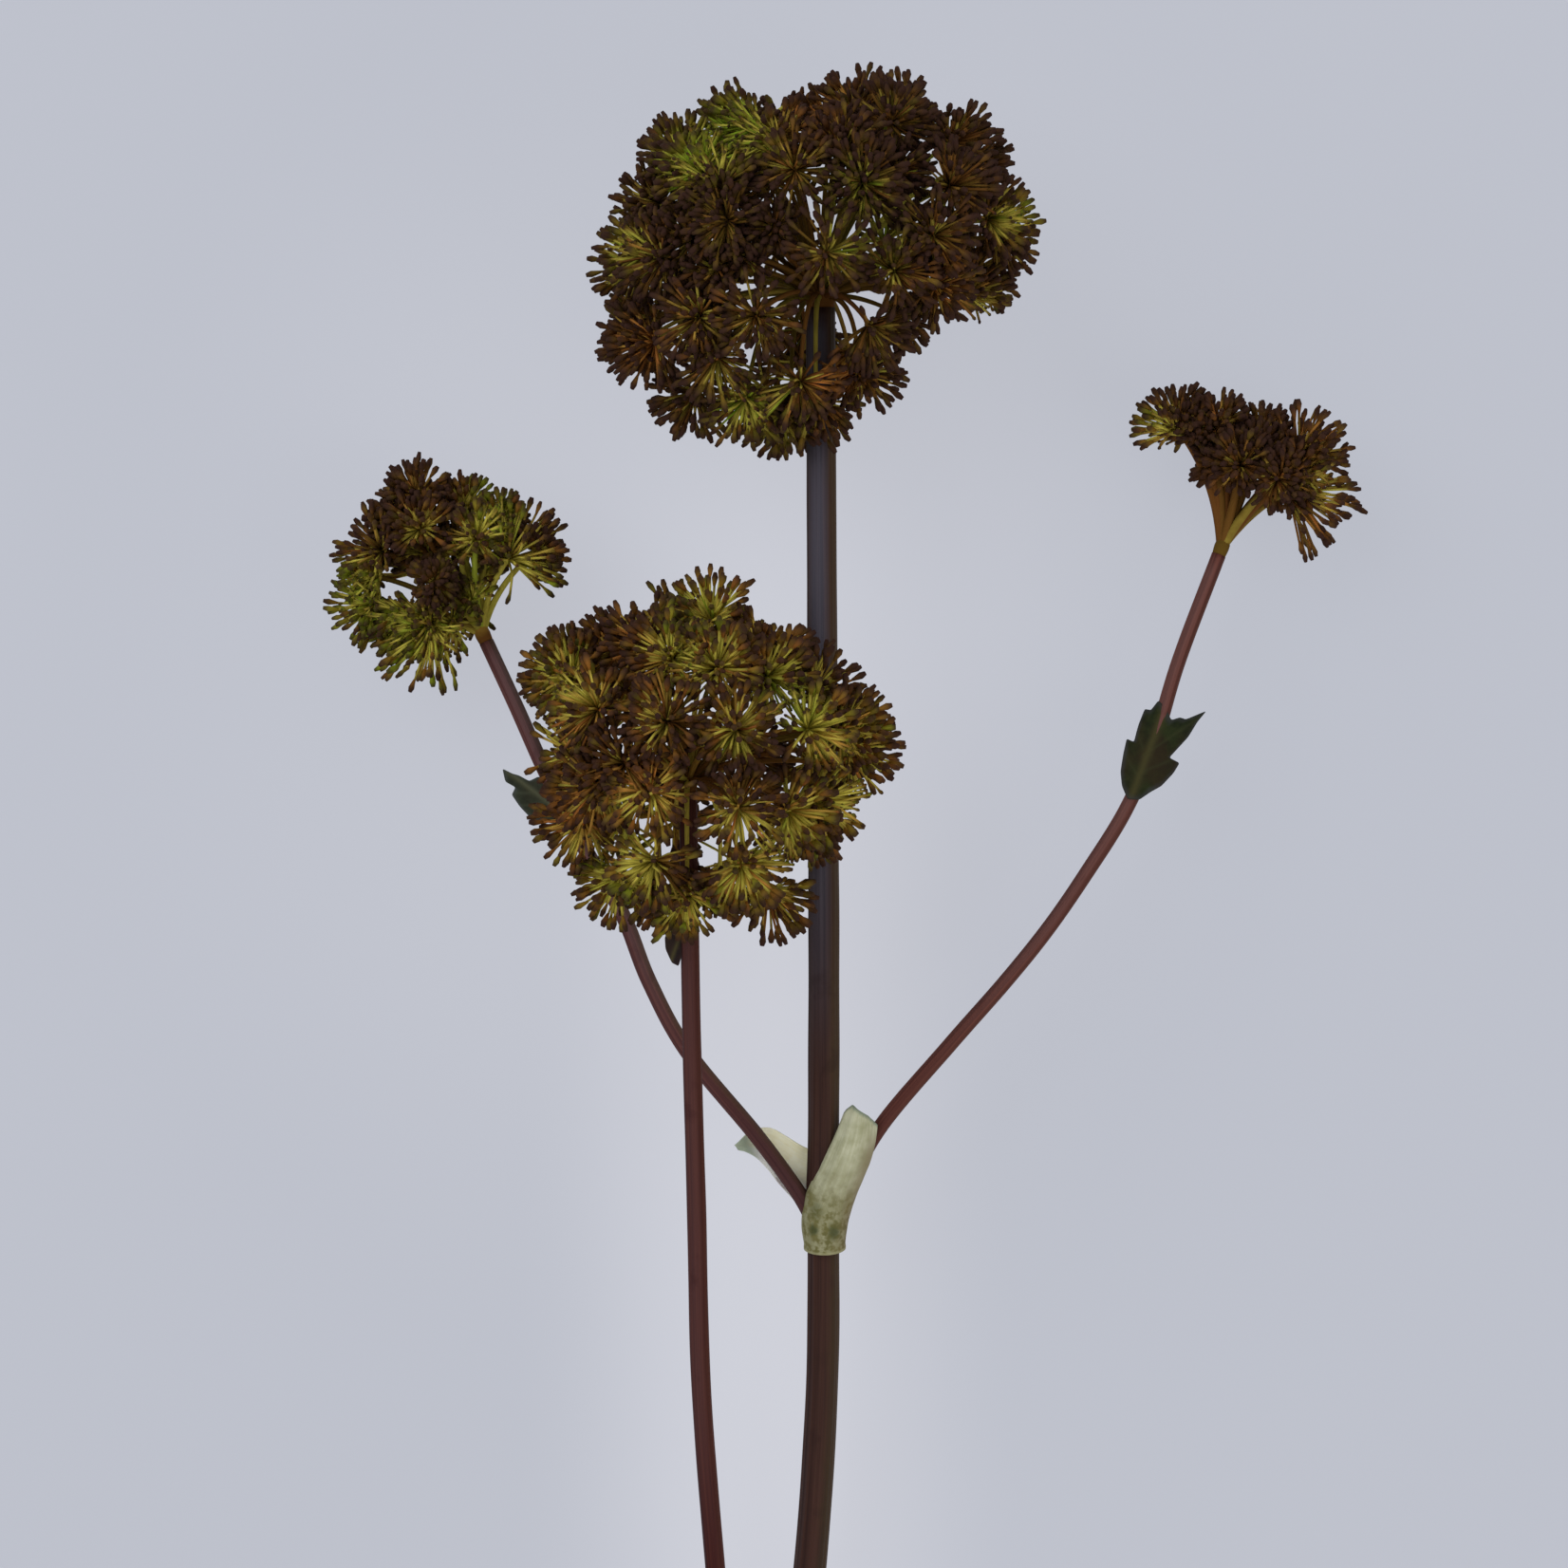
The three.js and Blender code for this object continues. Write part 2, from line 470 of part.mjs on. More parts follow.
// A leaf cut from a flat blade, with its sides raised off its midrib, and rising along it by its lean.
function leafGeometry( { base, cup, lean, ribAngle, outline } ) {
	const shape = new THREE.Shape( outline.map( ( [ x, y ] ) => new THREE.Vector2( x, y ) ) );
	const leaf = new THREE.ExtrudeGeometry( shape, { depth: BLADE_THICKNESS, bevelEnabled: false } );
	const position = leaf.attributes.position;
	const rib = new THREE.Vector2( Math.cos( ribAngle * DEGREE ), Math.sin( ribAngle * DEGREE ) );
	for ( let i = 0; i < position.count; i ++ ) {
		const place = new THREE.Vector2( position.getX( i ), position.getY( i ) );
		position.setZ( i, position.getZ( i ) + cup * place.cross( rib ) ** 2 + lean * place.dot( rib ) );
	}
	return leaf.translate( ...base );
}

// The sheath's sleeve: arcs round its middle line, which turns from the main stem to the right branch.
function sheathGeometry() {
	const { rings, crown, crownFrom, rows, columns } = SHEATH;
	const line = curveThrough( rings.map( ( { centre } ) => centre ) );
	const list = ( value ) => rings.map( ( ring, i ) => [ i / ( rings.length - 1 ), value( ring ) ] );
	const radii = list( ( ring ) => ring.radius );
	const starts = list( ( ring ) => ring.span[ 0 ] );
	const ends = list( ( ring ) => ring.span[ 1 ] );
	return blade( ( u, v ) => {
		const share = ( v + 1 ) / 2;
		const along = line.getTangentAt( u );
		const side = along.clone().cross( UP ).normalize();
		const front = side.clone().cross( along );
		const radius = readAt( radii, u );
		const angle = DEGREE * THREE.MathUtils.lerp( readAt( starts, u ), readAt( ends, u ), share );
		const rise = readAt( crown, share ) * THREE.MathUtils.smoothstep( u, crownFrom, 1 );
		return line.getPointAt( u ).addScaledVector( side, radius * Math.sin( angle ) )
			.addScaledVector( front, radius * Math.cos( angle ) ).addScaledVector( along, rise );
	}, rows, columns );
}

// The sheath's open half: a blade between its lower and its upper edge, arched backwards.
function openSheathGeometry() {
	const { arch, rows, columns } = OPEN_SHEATH;
	const lower = curveThrough( OPEN_SHEATH.lower );
	const upper = curveThrough( OPEN_SHEATH.upper );
	return blade( ( u, v ) => lower.getPointAt( u ).lerp( upper.getPointAt( u ), ( v + 1 ) / 2 )
		.add( new THREE.Vector3( 0, 0, - arch * ( 1 - v * v ) * ( 1 - u ) ) ), rows, columns );
}

// The assembly.
const group = new THREE.Group();
const finish = ( color, roughness ) => new THREE.MeshStandardMaterial( { color, roughness, metalness: 0 } );

function place( name, geometry, material ) {
	geometry.computeVertexNormals();
	const mesh = new THREE.Mesh( geometry, material );
	mesh.name = name;
	group.add( mesh );
}

const cutters = {};
for ( const [ name, stem ] of Object.entries( STEMS ) ) {
	cutters[ name ] = solid( stemGeometry( stem, GAP + CUTTER_EXTRA ) );
}
const clearOf = ( geometry, others ) => geometryOf( cutBy( solid( geometry ), others ) );
const everyStem = Object.values( cutters );

for ( const [ name, stem ] of Object.entries( STEMS ) ) {
	if ( name === 'main_stem' ) {
		place( name, stemGeometry( stem ), finish( 0x33231c, 0.5 ) );
	} else {
		place( name, clearOf( stemGeometry( stem ), [ cutters.main_stem ] ), finish( 0x4f2a24, 0.5 ) );
	}
}
place( 'sheath', clearOf( sheathGeometry(), everyStem ), finish( 0xb3b48f, 0.6 ) );
place( 'sheath_open', clearOf( openSheathGeometry(), everyStem ), finish( 0xc4c1a4, 0.6 ) );
for ( const [ name, leaf ] of Object.entries( LEAVES ) ) {
	place( name, clearOf( leafGeometry( leaf ), everyStem ), finish( 0x2c3320, 0.7 ) );
}
const obstacles = Object.values( STEMS ).flatMap( samples );
for ( const [ name, head ] of Object.entries( HEADS ) ) {
	place( name, headGeometry( head, obstacles ), finish( 0x4a3a1e, 0.7 ) );
}

const box = new THREE.Box3().setFromObject( group );
const middle = box.getCenter( new THREE.Vector3() ).setZ( 0 );
for ( const mesh of group.children ) mesh.position.sub( middle );

export default group;
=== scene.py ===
# Dried angelica lying on a pale surface: ribbed stems, papery sheaths, small leaves and four seed heads.
# Places are in millimetres from the stem's cut end, as in the part's source. makePiece turns them to metres.
import math

import bpy
import numpy as np
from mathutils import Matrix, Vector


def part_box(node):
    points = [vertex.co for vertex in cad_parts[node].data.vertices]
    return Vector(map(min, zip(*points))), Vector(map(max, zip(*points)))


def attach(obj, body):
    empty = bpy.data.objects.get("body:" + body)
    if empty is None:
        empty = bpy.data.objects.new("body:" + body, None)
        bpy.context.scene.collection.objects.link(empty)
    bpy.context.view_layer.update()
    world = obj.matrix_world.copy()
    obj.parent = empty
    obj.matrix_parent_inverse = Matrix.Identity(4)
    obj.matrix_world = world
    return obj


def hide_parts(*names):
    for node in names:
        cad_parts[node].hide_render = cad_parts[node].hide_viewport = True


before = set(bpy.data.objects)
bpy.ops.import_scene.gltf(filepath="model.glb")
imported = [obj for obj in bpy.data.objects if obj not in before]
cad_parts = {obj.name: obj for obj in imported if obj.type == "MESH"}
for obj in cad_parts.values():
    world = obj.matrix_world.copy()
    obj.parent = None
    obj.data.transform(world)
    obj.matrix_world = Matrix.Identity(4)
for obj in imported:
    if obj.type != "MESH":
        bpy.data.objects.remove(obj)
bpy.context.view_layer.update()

# The cut end's place in the frame, read from the leaves' west and south tips
tips = dict(west=-95.4, south=415.3)
west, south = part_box("leaf_left")[0].x * 1000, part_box("bract_front")[0].y * 1000
cutEnd = np.array([west - tips["west"], south - tips["south"], 0])
print("frame loaded, cut end at", [round(float(c), 3) for c in cutEnd])


# Vectors, in whole arrays

def unit(vectors):  # each vector over its own length
    return vectors / np.maximum(np.linalg.norm(vectors, axis=-1, keepdims=True), 1e-12)


def dot(a, b):  # the sum of the products, kept as a last axis of one
    return np.sum(a * b, axis=-1, keepdims=True)


def ease(low, high, value):  # 0 below low, 1 above high, and 3t^2 - 2t^3 between
    t = np.clip((value - low) / (high - low), 0, 1)
    return t * t * (3 - 2 * t)


def draw(seed, index):  # the fraction of 43758.5453 sin(127.1 seed + 311.7 index), as the part's source draws
    wave = math.sin(seed * 127.1 + index * 311.7) * 43758.5453
    return wave - math.floor(wave)


def smoothLine(points, count):  # a Catmull-Rom curve through the points, read at even steps of its length
    p = np.array(points, float)
    p = np.vstack([2 * p[0] - p[1], p, 2 * p[-1] - p[-2]])
    place = np.linspace(0, len(points) - 1, 60 * len(points))
    i = np.minimum(place.astype(int), len(points) - 2)
    t = (place - i)[:, None]
    a, b, c, d = p[i], p[i + 1], p[i + 2], p[i + 3]
    line = b + 0.5 * t * (c - a + t * (2 * a - 5 * b + 4 * c - d + t * (3 * b - a - 3 * c + d)))
    length = np.concatenate([[0], np.cumsum(np.linalg.norm(np.diff(line, axis=0), axis=1))])
    even = np.linspace(0, length[-1], count)
    return np.stack([np.interp(even, length, line[:, k]) for k in range(3)], axis=1)


# Surfaces. Each returns its points, its faces and what its finish reads at every point.

def ringQuads(rings, around):  # a ring's own points, the points after them, and the faces from ring to ring
    here = np.arange(around)
    after = (here + 1) % around
    ring = np.arange(rings - 1)[:, None] * around
    corners = [ring + here, ring + after, ring + around + after, ring + around + here]
    return here, after, np.stack(corners, axis=-1).reshape(-1, 4)


def tubes(centres, flat, radii, around):
    # Many tubes at once: centre + radius (cos a . flat + sin a . upright) at each ring, with closed ends.
    n, rings = centres.shape[:2]
    tangent = unit(np.gradient(centres, axis=1))
    flat = unit(flat - tangent * dot(flat, tangent))
    upright = np.cross(tangent, flat)
    angle = np.arange(around) * 2 * np.pi / around
    wheel = np.cos(angle)[:, None] * flat[:, :, None] + np.sin(angle)[:, None] * upright[:, :, None]
    radii = radii if radii.ndim == 3 else radii[..., None]
    skin = (centres[:, :, None] + radii[..., None] * wheel).reshape(n, rings * around, 3)
    points = np.concatenate([skin, centres[:, :1], centres[:, -1:]], axis=1)

    here, after, quads = ringQuads(rings, around)
    last = (rings - 1) * around
    pole = rings * around
    caps = np.concatenate([
        np.stack([np.full(around, pole), after, here], axis=1),
        np.stack([np.full(around, pole + 1), last + here, last + after], axis=1),
    ])
    step = np.arange(n)[:, None, None] * (pole + 2)
    along = np.concatenate([np.repeat(np.linspace(0, 1, rings), around), [0, 1]])
    turn = np.concatenate([np.tile(angle, rings), [0, 0]])
    return {
        "points": points.reshape(-1, 3),
        "quads": (quads + step).reshape(-1, 4),
        "caps": (caps + step).reshape(-1, 3),
        "along": np.tile(along, n),
        "turn": np.tile(turn, n),
        "each": pole + 2,
    }


def blade(middle, thickness):
    # A closed sheet: the middle surface moved half its thickness either way along its normal, with a rim.
    rows, columns = middle.shape[:2]
    normal = unit(np.cross(np.gradient(middle, axis=0), np.gradient(middle, axis=1)))
    half = normal * np.asarray(thickness)[..., None] / 2
    points = np.concatenate([(middle + half).reshape(-1, 3), (middle - half).reshape(-1, 3)])
    index = np.arange(rows * columns).reshape(rows, columns)
    corners = [index[:-1, :-1], index[1:, :-1], index[1:, 1:], index[:-1, 1:]]
    top = np.stack(corners, axis=-1).reshape(-1, 4)
    under = rows * columns
    rim = np.concatenate([index[:-1, 0], index[-1, :-1], index[:0:-1, -1], index[0, :0:-1]])
    onward = np.roll(rim, -1)
    wall = np.stack([rim, rim + under, onward + under, onward], axis=1)
    return points, np.concatenate([top, top[:, ::-1] + under, wall])


def bladeValues(u, v):  # how far along and across a blade each of its points lies, for both its sides
    return {"along": np.tile(np.repeat(u, v.size), 2), "across": np.tile(v, 2 * u.size)}


def addObject(name, data):
    made = bpy.data.objects.new(name, data)
    bpy.context.scene.collection.objects.link(made)
    return made


def makePiece(name, node, points, faces, values, material):
    # One object at the origin, in metres, with what its finish reads stored on its points.
    mesh = bpy.data.meshes.new(name)
    corners = ((points + cutEnd) / 1000).tolist()
    mesh.from_pydata(corners, [], [face for part in faces for face in part.tolist()])
    for key, value in values.items():
        value = np.ascontiguousarray(value, dtype=np.float32)
        kind, field = ("FLOAT_VECTOR", "vector") if value.ndim == 2 else ("FLOAT", "value")
        mesh.attributes.new(key, kind, "POINT").data.foreach_set(field, value.ravel())
    mesh.shade_smooth()
    mesh.materials.append(material)
    piece = addObject(name, mesh)
    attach(piece, "root")
    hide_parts(node)
    triangles = sum(len(face.vertices) - 2 for face in mesh.polygons)
    print("made", name, triangles, "triangles")


# Finishes

headValues = ("warmth", "paintedLight", "tone", "along")  # what the seed heads' finishes read at every point


def shade(*screen):  # a colour as a screen shows it, 0 to 255, as the light it stands for
    shares = [value / 255 for value in screen]
    return (*[s / 12.92 if s < 0.0404 else ((s + 0.055) / 1.055) ** 2.4 for s in shares], 1)


def lit(look):  # a finish's settings, in which each colour, a tuple of three, is turned into light
    colours = {key: value for key, value in look.items() if isinstance(value, tuple) and len(value) == 3}
    return look | {key: shade(*value) for key, value in colours.items()}


def mathNode(operation, reflected=False):  # an operator of Wire, which adds the Math node of two values
    def operator(self, other):
        first, second = (other, self) if reflected else (self, other)
        return self.make("Math", {0: first, 1: second}, operation=operation)
    return operator


class Wire:
    # One output of a finish's nodes. A sum written with it in Python adds the Math nodes that work it out.
    def __init__(self, tree, socket=None):
        self.tree = tree
        self.socket = socket

    # Adds a node of a type, with its settings and a value or a wire for each input that is named.
    def make(self, kind, inputs={}, output=0, **settings):
        node = self.tree.nodes.new("ShaderNode" + kind)
        for key, value in settings.items():
            setattr(node, key, value)
        for key, value in inputs.items():
            if isinstance(value, Wire):
                self.tree.links.new(value.socket, node.inputs[key])
            else:
                node.inputs[key].default_value = value
        return Wire(self.tree, node.outputs[output])

    __add__ = __radd__ = mathNode("ADD")
    __mul__ = __rmul__ = mathNode("MULTIPLY")
    __sub__ = mathNode("SUBTRACT")
    __rsub__ = mathNode("SUBTRACT", reflected=True)
    __truediv__ = mathNode("DIVIDE")
    __pow__ = mathNode("POWER")

    def between(self, low, high):  # 0 at low, 1 at high, eased and held outside them
        limits = {"Value": self, "From Min": low, "From Max": high}
        return self.make("MapRange", limits, interpolation_type="SMOOTHSTEP")

    def blend(self, low, high):  # the colour low where this is 0 and high where it is 1
        return self.make("Mix", {"Factor": self, 6: low, 7: high}, 2, data_type="RGBA")

    def stretch(self, x, y, z):  # a place, longer or shorter along each axis
        return self.make("VectorMath", {0: self, 1: (x, y, z)}, operation="MULTIPLY")

    def part(self, axis):  # how far a place lies along one axis
        return self.make("SeparateXYZ", {0: self}, axis)

    def noise(self, scale, detail=3.0):  # smooth noise from 0 to 1 at a place
        return self.make("TexNoise", {"Vector": self, "Scale": scale, "Detail": detail, "Roughness": 0.55})

    def feed(self, shader, name):  # leads into one of the shader's inputs
        self.tree.links.new(self.socket, shader.inputs[name])


def newMaterial(name, gloss):  # a material, its maker of nodes and its shader
    material = bpy.data.materials.new(name)
    material.use_nodes = True
    shader = material.node_tree.nodes["Principled BSDF"]
    shader.inputs["Specular IOR Level"].default_value = gloss
    return material, Wire(material.node_tree), shader


def makeFinish(name, write, look, gloss):
    # A material whose colour, roughness, relief and height of relief a function works out from a look.
    material, wires, shader = newMaterial(name, gloss)
    colour, rough, relief, height = write(wires, lit(look))
    bump = relief.make("Bump", {"Height": relief, "Strength": 0.6, "Distance": height})
    for wire, inputName in ((colour, "Base Color"), (rough, "Roughness"), (bump, "Normal")):
        wire.feed(shader, inputName)
    return material


def layered(body, look, layers):  # the look's colours laid one over the other, each by its share
    for share, colour in layers:
        body = share.blend(body, look[colour])
    return body


def objectPlace(wires):
    return wires.make("TexCoord", output=3)


def stored(wires, name, output=2):  # a value stored on the points; output 1 reads it as a vector
    return wires.make("Attribute", output=output, attribute_name=name)


def stemFinish(wires, look):
    # Lengthwise streaks, an olive flank, a painted cool sheen (a painted reflection) along the top, a foot of
    # another colour, and mottling.
    grain, along = stored(wires, "grain", 1), stored(wires, "along")
    streak = grain.stretch(1.6, 1.6, 0.05).noise(1.4, 4.0)
    fibre = grain.stretch(7, 7, 0.14).noise(1.6)
    mottle = objectPlace(wires).noise(95, 4.0)
    side, top = grain.part(0), grain.part(1)
    # Painted reflection: a lighter, cooler colour along the tube's top, between two places along it.
    inRange = along.between(*look["sheenFrom"]) * (1 - along.between(*look["sheenTo"]))
    paintedSheen = (top + side * look["sheenSide"]).between(0.55, 1.1) * inRange * look["sheenShare"]
    body = (streak * 0.65 + fibre * 0.35).between(0.3, 0.7).blend(look["dark"], look["light"])
    body = layered(body, look, [
        ((side + mottle * 0.7 - 0.35).between(0.1, 0.9) * look["flankShare"], "flank"),
        (paintedSheen * (0.6 + 0.4 * fibre), "paintedSheen"),
        ((1 - along.between(0, look["footUntil"])) * look["footShare"], "foot"),
        (mottle.between(0.58, 0.72) * 0.35, "dark"),
    ])
    return body, 0.42 + 0.2 * mottle, fibre * 0.7 + streak * 0.3, 0.0003


def stalkFinish(wires, look):
    # Green where warmth is under 0, yellow-olive about 0 and orange-brown above, dim where the painted light
    # is low, as painted shade, and dim too where the drawn tone is low.
    warmth, paintedLight, tone, along = (stored(wires, key) for key in headValues)
    grain = objectPlace(wires).noise(260)
    hue = warmth.between(-0.9, 0).blend(look["green"], look["olive"])
    hue = warmth.between(0.05, 0.9).blend(hue, look["rust"])
    # Darker copies of the colours: painted shade, for where the painted light is low.
    dim = warmth.between(-0.8, 0.8).blend(look["shadedGreen"], look["shadedRust"])
    body = (paintedLight + tone * 0.8 + grain * 0.3 - 0.5).between(0, 1).blend(dim, hue)
    body = (along.between(0.72, 1) * 0.7).blend(body, look["neck"])
    return body, 0.55 + 0.2 * grain, grain, 0.00015


def fruitFinish(wires, look):
    # Brown-black, redder or greener towards the stalk, green where unripe and darkest at the tip; lighter
    # where the painted light is high and darker, as painted shade, where it is low.
    warmth, paintedLight, tone, along = (stored(wires, key) for key in headValues)
    grain = objectPlace(wires).noise(420)
    light = warmth.between(-0.4, 0.7).blend(look["lightOlive"], look["lightRust"])
    # Painted light and shade: the painted light lifts the fruits towards their lighter colours, along with
    # the drawn tone and grain.
    body = (tone * 0.5 + grain * 0.4 + paintedLight * 0.28 - 0.33).between(0.05, 1).blend(look["dark"], light)
    root = warmth.between(-0.7, 0.7).blend(look["rootGreen"], look["rootRust"])
    body = ((1 - along.between(0.05, 0.55)) * (0.15 + 0.7 * paintedLight)).blend(body, root)
    unripe = paintedLight.between(0.72, 1) * (1 - warmth.between(-0.6, 0.2)) * 0.6
    body = (unripe * (0.4 + 0.6 * tone)).blend(body, look["unripe"])
    body = ((along + 0.3 * grain).between(0.45, 1.05) * 0.8).blend(body, look["tip"])
    return body, 0.5 + 0.25 * grain, grain, 0.0002


def sheathFinish(wires, look):
    # Mottled paper with lengthwise veins, its foot, flank, hem and lip in other colours, green blotches near
    # the foot and ragged dark spots given by their places.
    along, across = stored(wires, "along"), stored(wires, "across")
    place = objectPlace(wires)
    paper = wires.make("CombineXYZ", {0: across * 3.2, 1: along * 0.9, 2: 0.0})
    streak = paper.noise(3.2, 4.0)
    fine = paper.stretch(6, 1.6, 1).noise(3.0)
    cloud = place.noise(120)
    speck = place.noise(450, 4.0)
    foot = (1 - (along + (cloud - 0.5) * 0.6).between(*look["footBand"])) * look["footShare"]
    flank = (across + (streak - 0.5) * 0.8).between(*look["flankBand"])
    flank = flank * (1 - along.between(0.75, 1)) * 0.75
    blotch = (speck * 0.6 + cloud * 0.4).between(0.5, 0.62) * (1 - along.between(*look["blotchUntil"]))
    body = (streak * 0.35 + cloud * 0.4 + speck * 0.25).between(0.32, 0.68).blend(look["pale"], look["cream"])
    body = layered(body, look, [
        (fine.between(0.5, 0.75) * look["veinShare"], "vein"),
        (foot * (0.6 + 0.4 * speck.between(0.4, 0.6)), "foot"),
        (flank * (0.7 + 0.3 * speck), "flank"),
        (blotch * look["blotchShare"], "spot"),
        ((along + (streak - 0.5) * 0.05).between(*look["hemBand"]) * 0.85, "hem"),
        ((1 - along.between(*look["lipBand"])) * look["lipShare"], "lip"),
    ])
    east, north = place.part(0), place.part(1)
    for x, y, size, share in look["spots"]:
        aside = (east - (x + cutEnd[0]) / 1000) / size
        ahead = (north - (y + cutEnd[1]) / 1000) / (1.4 * size)
        spot = 1 - (aside ** 2 + ahead ** 2 + (speck - 0.5) * 5).between(-0.4, 2.4)
        body = (spot * share).blend(body, look["spot"])
    return body, 0.55 + 0.2 * cloud, fine * 0.6 + streak * 0.4, 0.0004


def leafFinish(wires, look):
    # Dark green browned in clouds, with a paler midrib and side veins, and greyed at the edge.
    rib, vein, edge = (stored(wires, key) for key in ("rib", "vein", "edge"))
    place = objectPlace(wires)
    cloud = place.noise(180, 4.0)
    fine = place.noise(700)
    body = (cloud * 0.7 + fine * 0.3).between(0.35, 0.65).blend(look["dark"], look["light"])
    body = layered(body, look, [
        (place.stretch(1, 1, 0).noise(70, 2.0).between(0.42, 0.66) * 0.65, "rust"),
        (vein * 0.45, "vein"),
        (rib * (0.7 + 0.3 * cloud), "rib"),
        ((edge + (cloud - 0.5) * 0.3).between(0.82, 1) * 0.6, "edge"),
    ])
    return body, 0.5 + 0.25 * cloud, fine * 0.4 + vein * 0.6, 0.0003


# Studio settings, which the seed heads' gaps and patches also read

studio = dict(
    floorSize=6, floorDiffuse=0.1, floorGlow=0.5, floorMean=0.56,
    # The pale colour is the painted light of the pools; the even colour is the floor's own.
    floorPoolColour=shade(212, 213, 221), floorEven=shade(185, 188, 198),
    floorLightPools=[  # painted pools of light that lift the plant's shadows: place, stretch along Y, width in metres and share
        (-17, 270, 0.2, 0.08, 0.65), (-30, 520, 0.8, 0.21, 0.4),
    ],
    sky=(0.84, 0.85, 0.88, 1), skyStrength=0.7,
    lamps=[  # place in metres, size, power and tint
        ((-1.1, 0.9, 1.7), 1.6, 16, (0.92, 0.96, 1)), ((1.3, -0.5, 1.5), 1.4, 9, (1, 0.97, 0.93)),
    ],
    camera=(-11.3, 468, 1340), lens=100, sensor=36, seenHeight=40,
)


# Stems. Route and radii run from root to head. A swelling is its place along Y, its height and its length.

mainStem = dict(
    name="main_stem", slot="main_stem",
    route=[
        (-8, 0, 5.4), (-10, 40, 5.5), (-13, 90, 8.5), (-13.5, 133, 13), (-9, 185, 19), (-3.2, 235, 25),
        (0.15, 290, 31.5), (0.4, 345, 38), (0.5, 420, 45.5), (0, 500, 52.5), (-0.6, 608, 60.5),
    ],
    radii=(5.2, 4.15), swellings=[(133, 1.1, 12), (345, 0.35, 9)], ribs=(6, 17), around=68, rings=240,
    look=dict(
        dark=(40, 24, 22), light=(68, 44, 36), flank=(70, 56, 34), flankShare=0.6,
        # the sheen colour and its settings are a painted reflection along the stem's top
        paintedSheen=(92, 94, 108), sheenShare=0.55, sheenSide=-0.35,
        sheenFrom=(0.62, 0.75), sheenTo=(0.985, 1),
        foot=(96, 84, 62), footUntil=0.012, footShare=0.8,
    ),
)

frontBranch = dict(
    name="front_branch", slot="side_stem",
    route=[
        (-14, 124, 13), (-21, 146, 20), (-27.6, 185, 31), (-31.9, 235, 43), (-35.8, 290, 55), (-37, 345, 66),
        (-38.3, 400, 76), (-39, 466, 86),
    ],
    radii=(3.1, 2.6), swellings=[], ribs=(5, 13), around=52, rings=180,
    look=dict(
        dark=(46, 15, 18), light=(78, 38, 30), flank=(86, 48, 34), flankShare=0.5,
        # the sheen colour and its settings are a painted reflection along the stem's top
        paintedSheen=(104, 78, 76), sheenShare=0.3, sheenSide=-0.3,
        sheenFrom=(0.3, 0.5), sheenTo=(0.9, 1),
        foot=(44, 14, 18), footUntil=0.55, footShare=0.6,
    ),
)

leftBranch = dict(
    name="left_branch", slot="side_stem",
    route=[
        (-0.5, 333, 37), (-6.5, 345, 38.5), (-19.5, 363, 40), (-40, 388, 41), (-51.5, 409, 41),
        (-59.5, 429, 40), (-71.5, 450, 39.5), (-82.3, 471, 39), (-91.3, 491, 38), (-100.4, 510.5, 36.5),
    ],
    radii=(2.35, 2.15), swellings=[], ribs=(4, 11), around=44, rings=150,
    look=dict(
        dark=(62, 34, 36), light=(104, 64, 58), flank=(82, 64, 44), flankShare=0.6,
        # the sheen colour and its settings are a painted reflection along the stem's top
        paintedSheen=(128, 104, 106), sheenShare=0.35, sheenSide=0.4,
        sheenFrom=(0.3, 0.6), sheenTo=(0.97, 1),
        foot=(56, 36, 38), footUntil=0.4, footShare=0.5,
    ),
)

rightBranch = dict(
    name="right_branch", slot="side_stem",
    route=[
        (1.5, 331, 36.5), (7.5, 347, 39), (17.7, 366, 39.6), (38.1, 390, 39), (54.9, 409, 38),
        (67.9, 425, 36.5), (79.4, 441.5, 35), (91.1, 460, 33), (99.4, 479, 31.5), (107.4, 505, 30),
        (119.6, 537, 28.5),
    ],
    radii=(2.2, 2.1), swellings=[], ribs=(4, 11), around=44, rings=160,
    look=dict(
        dark=(66, 34, 30), light=(108, 62, 52), flank=(84, 50, 38), flankShare=0.5,
        # the sheen colour and its settings are a painted reflection along the stem's top
        paintedSheen=(126, 96, 92), sheenShare=0.3, sheenSide=-0.5,
        sheenFrom=(0.2, 0.5), sheenTo=(0.97, 1),
        foot=(70, 34, 30), footUntil=0.3, footShare=0.4,
    ),
)

stems = (mainStem, frontBranch, leftBranch, rightBranch)
stemRelief = dict(  # depths as shares of the radius, and the lengths of the slow waves
    broad=0.03, fine=0.016, drift=0.25, driftLength=170, waver=0.012, waverLength=41,
)


def stemRadius(stem, t, y):  # an even taper from root to head, and a soft bulge at each joint
    root, tip = stem["radii"]
    bulges = sum(by * np.exp(-((y - at) / over) ** 2) for at, by, over in stem["swellings"])
    return root + (tip - root) * t + bulges


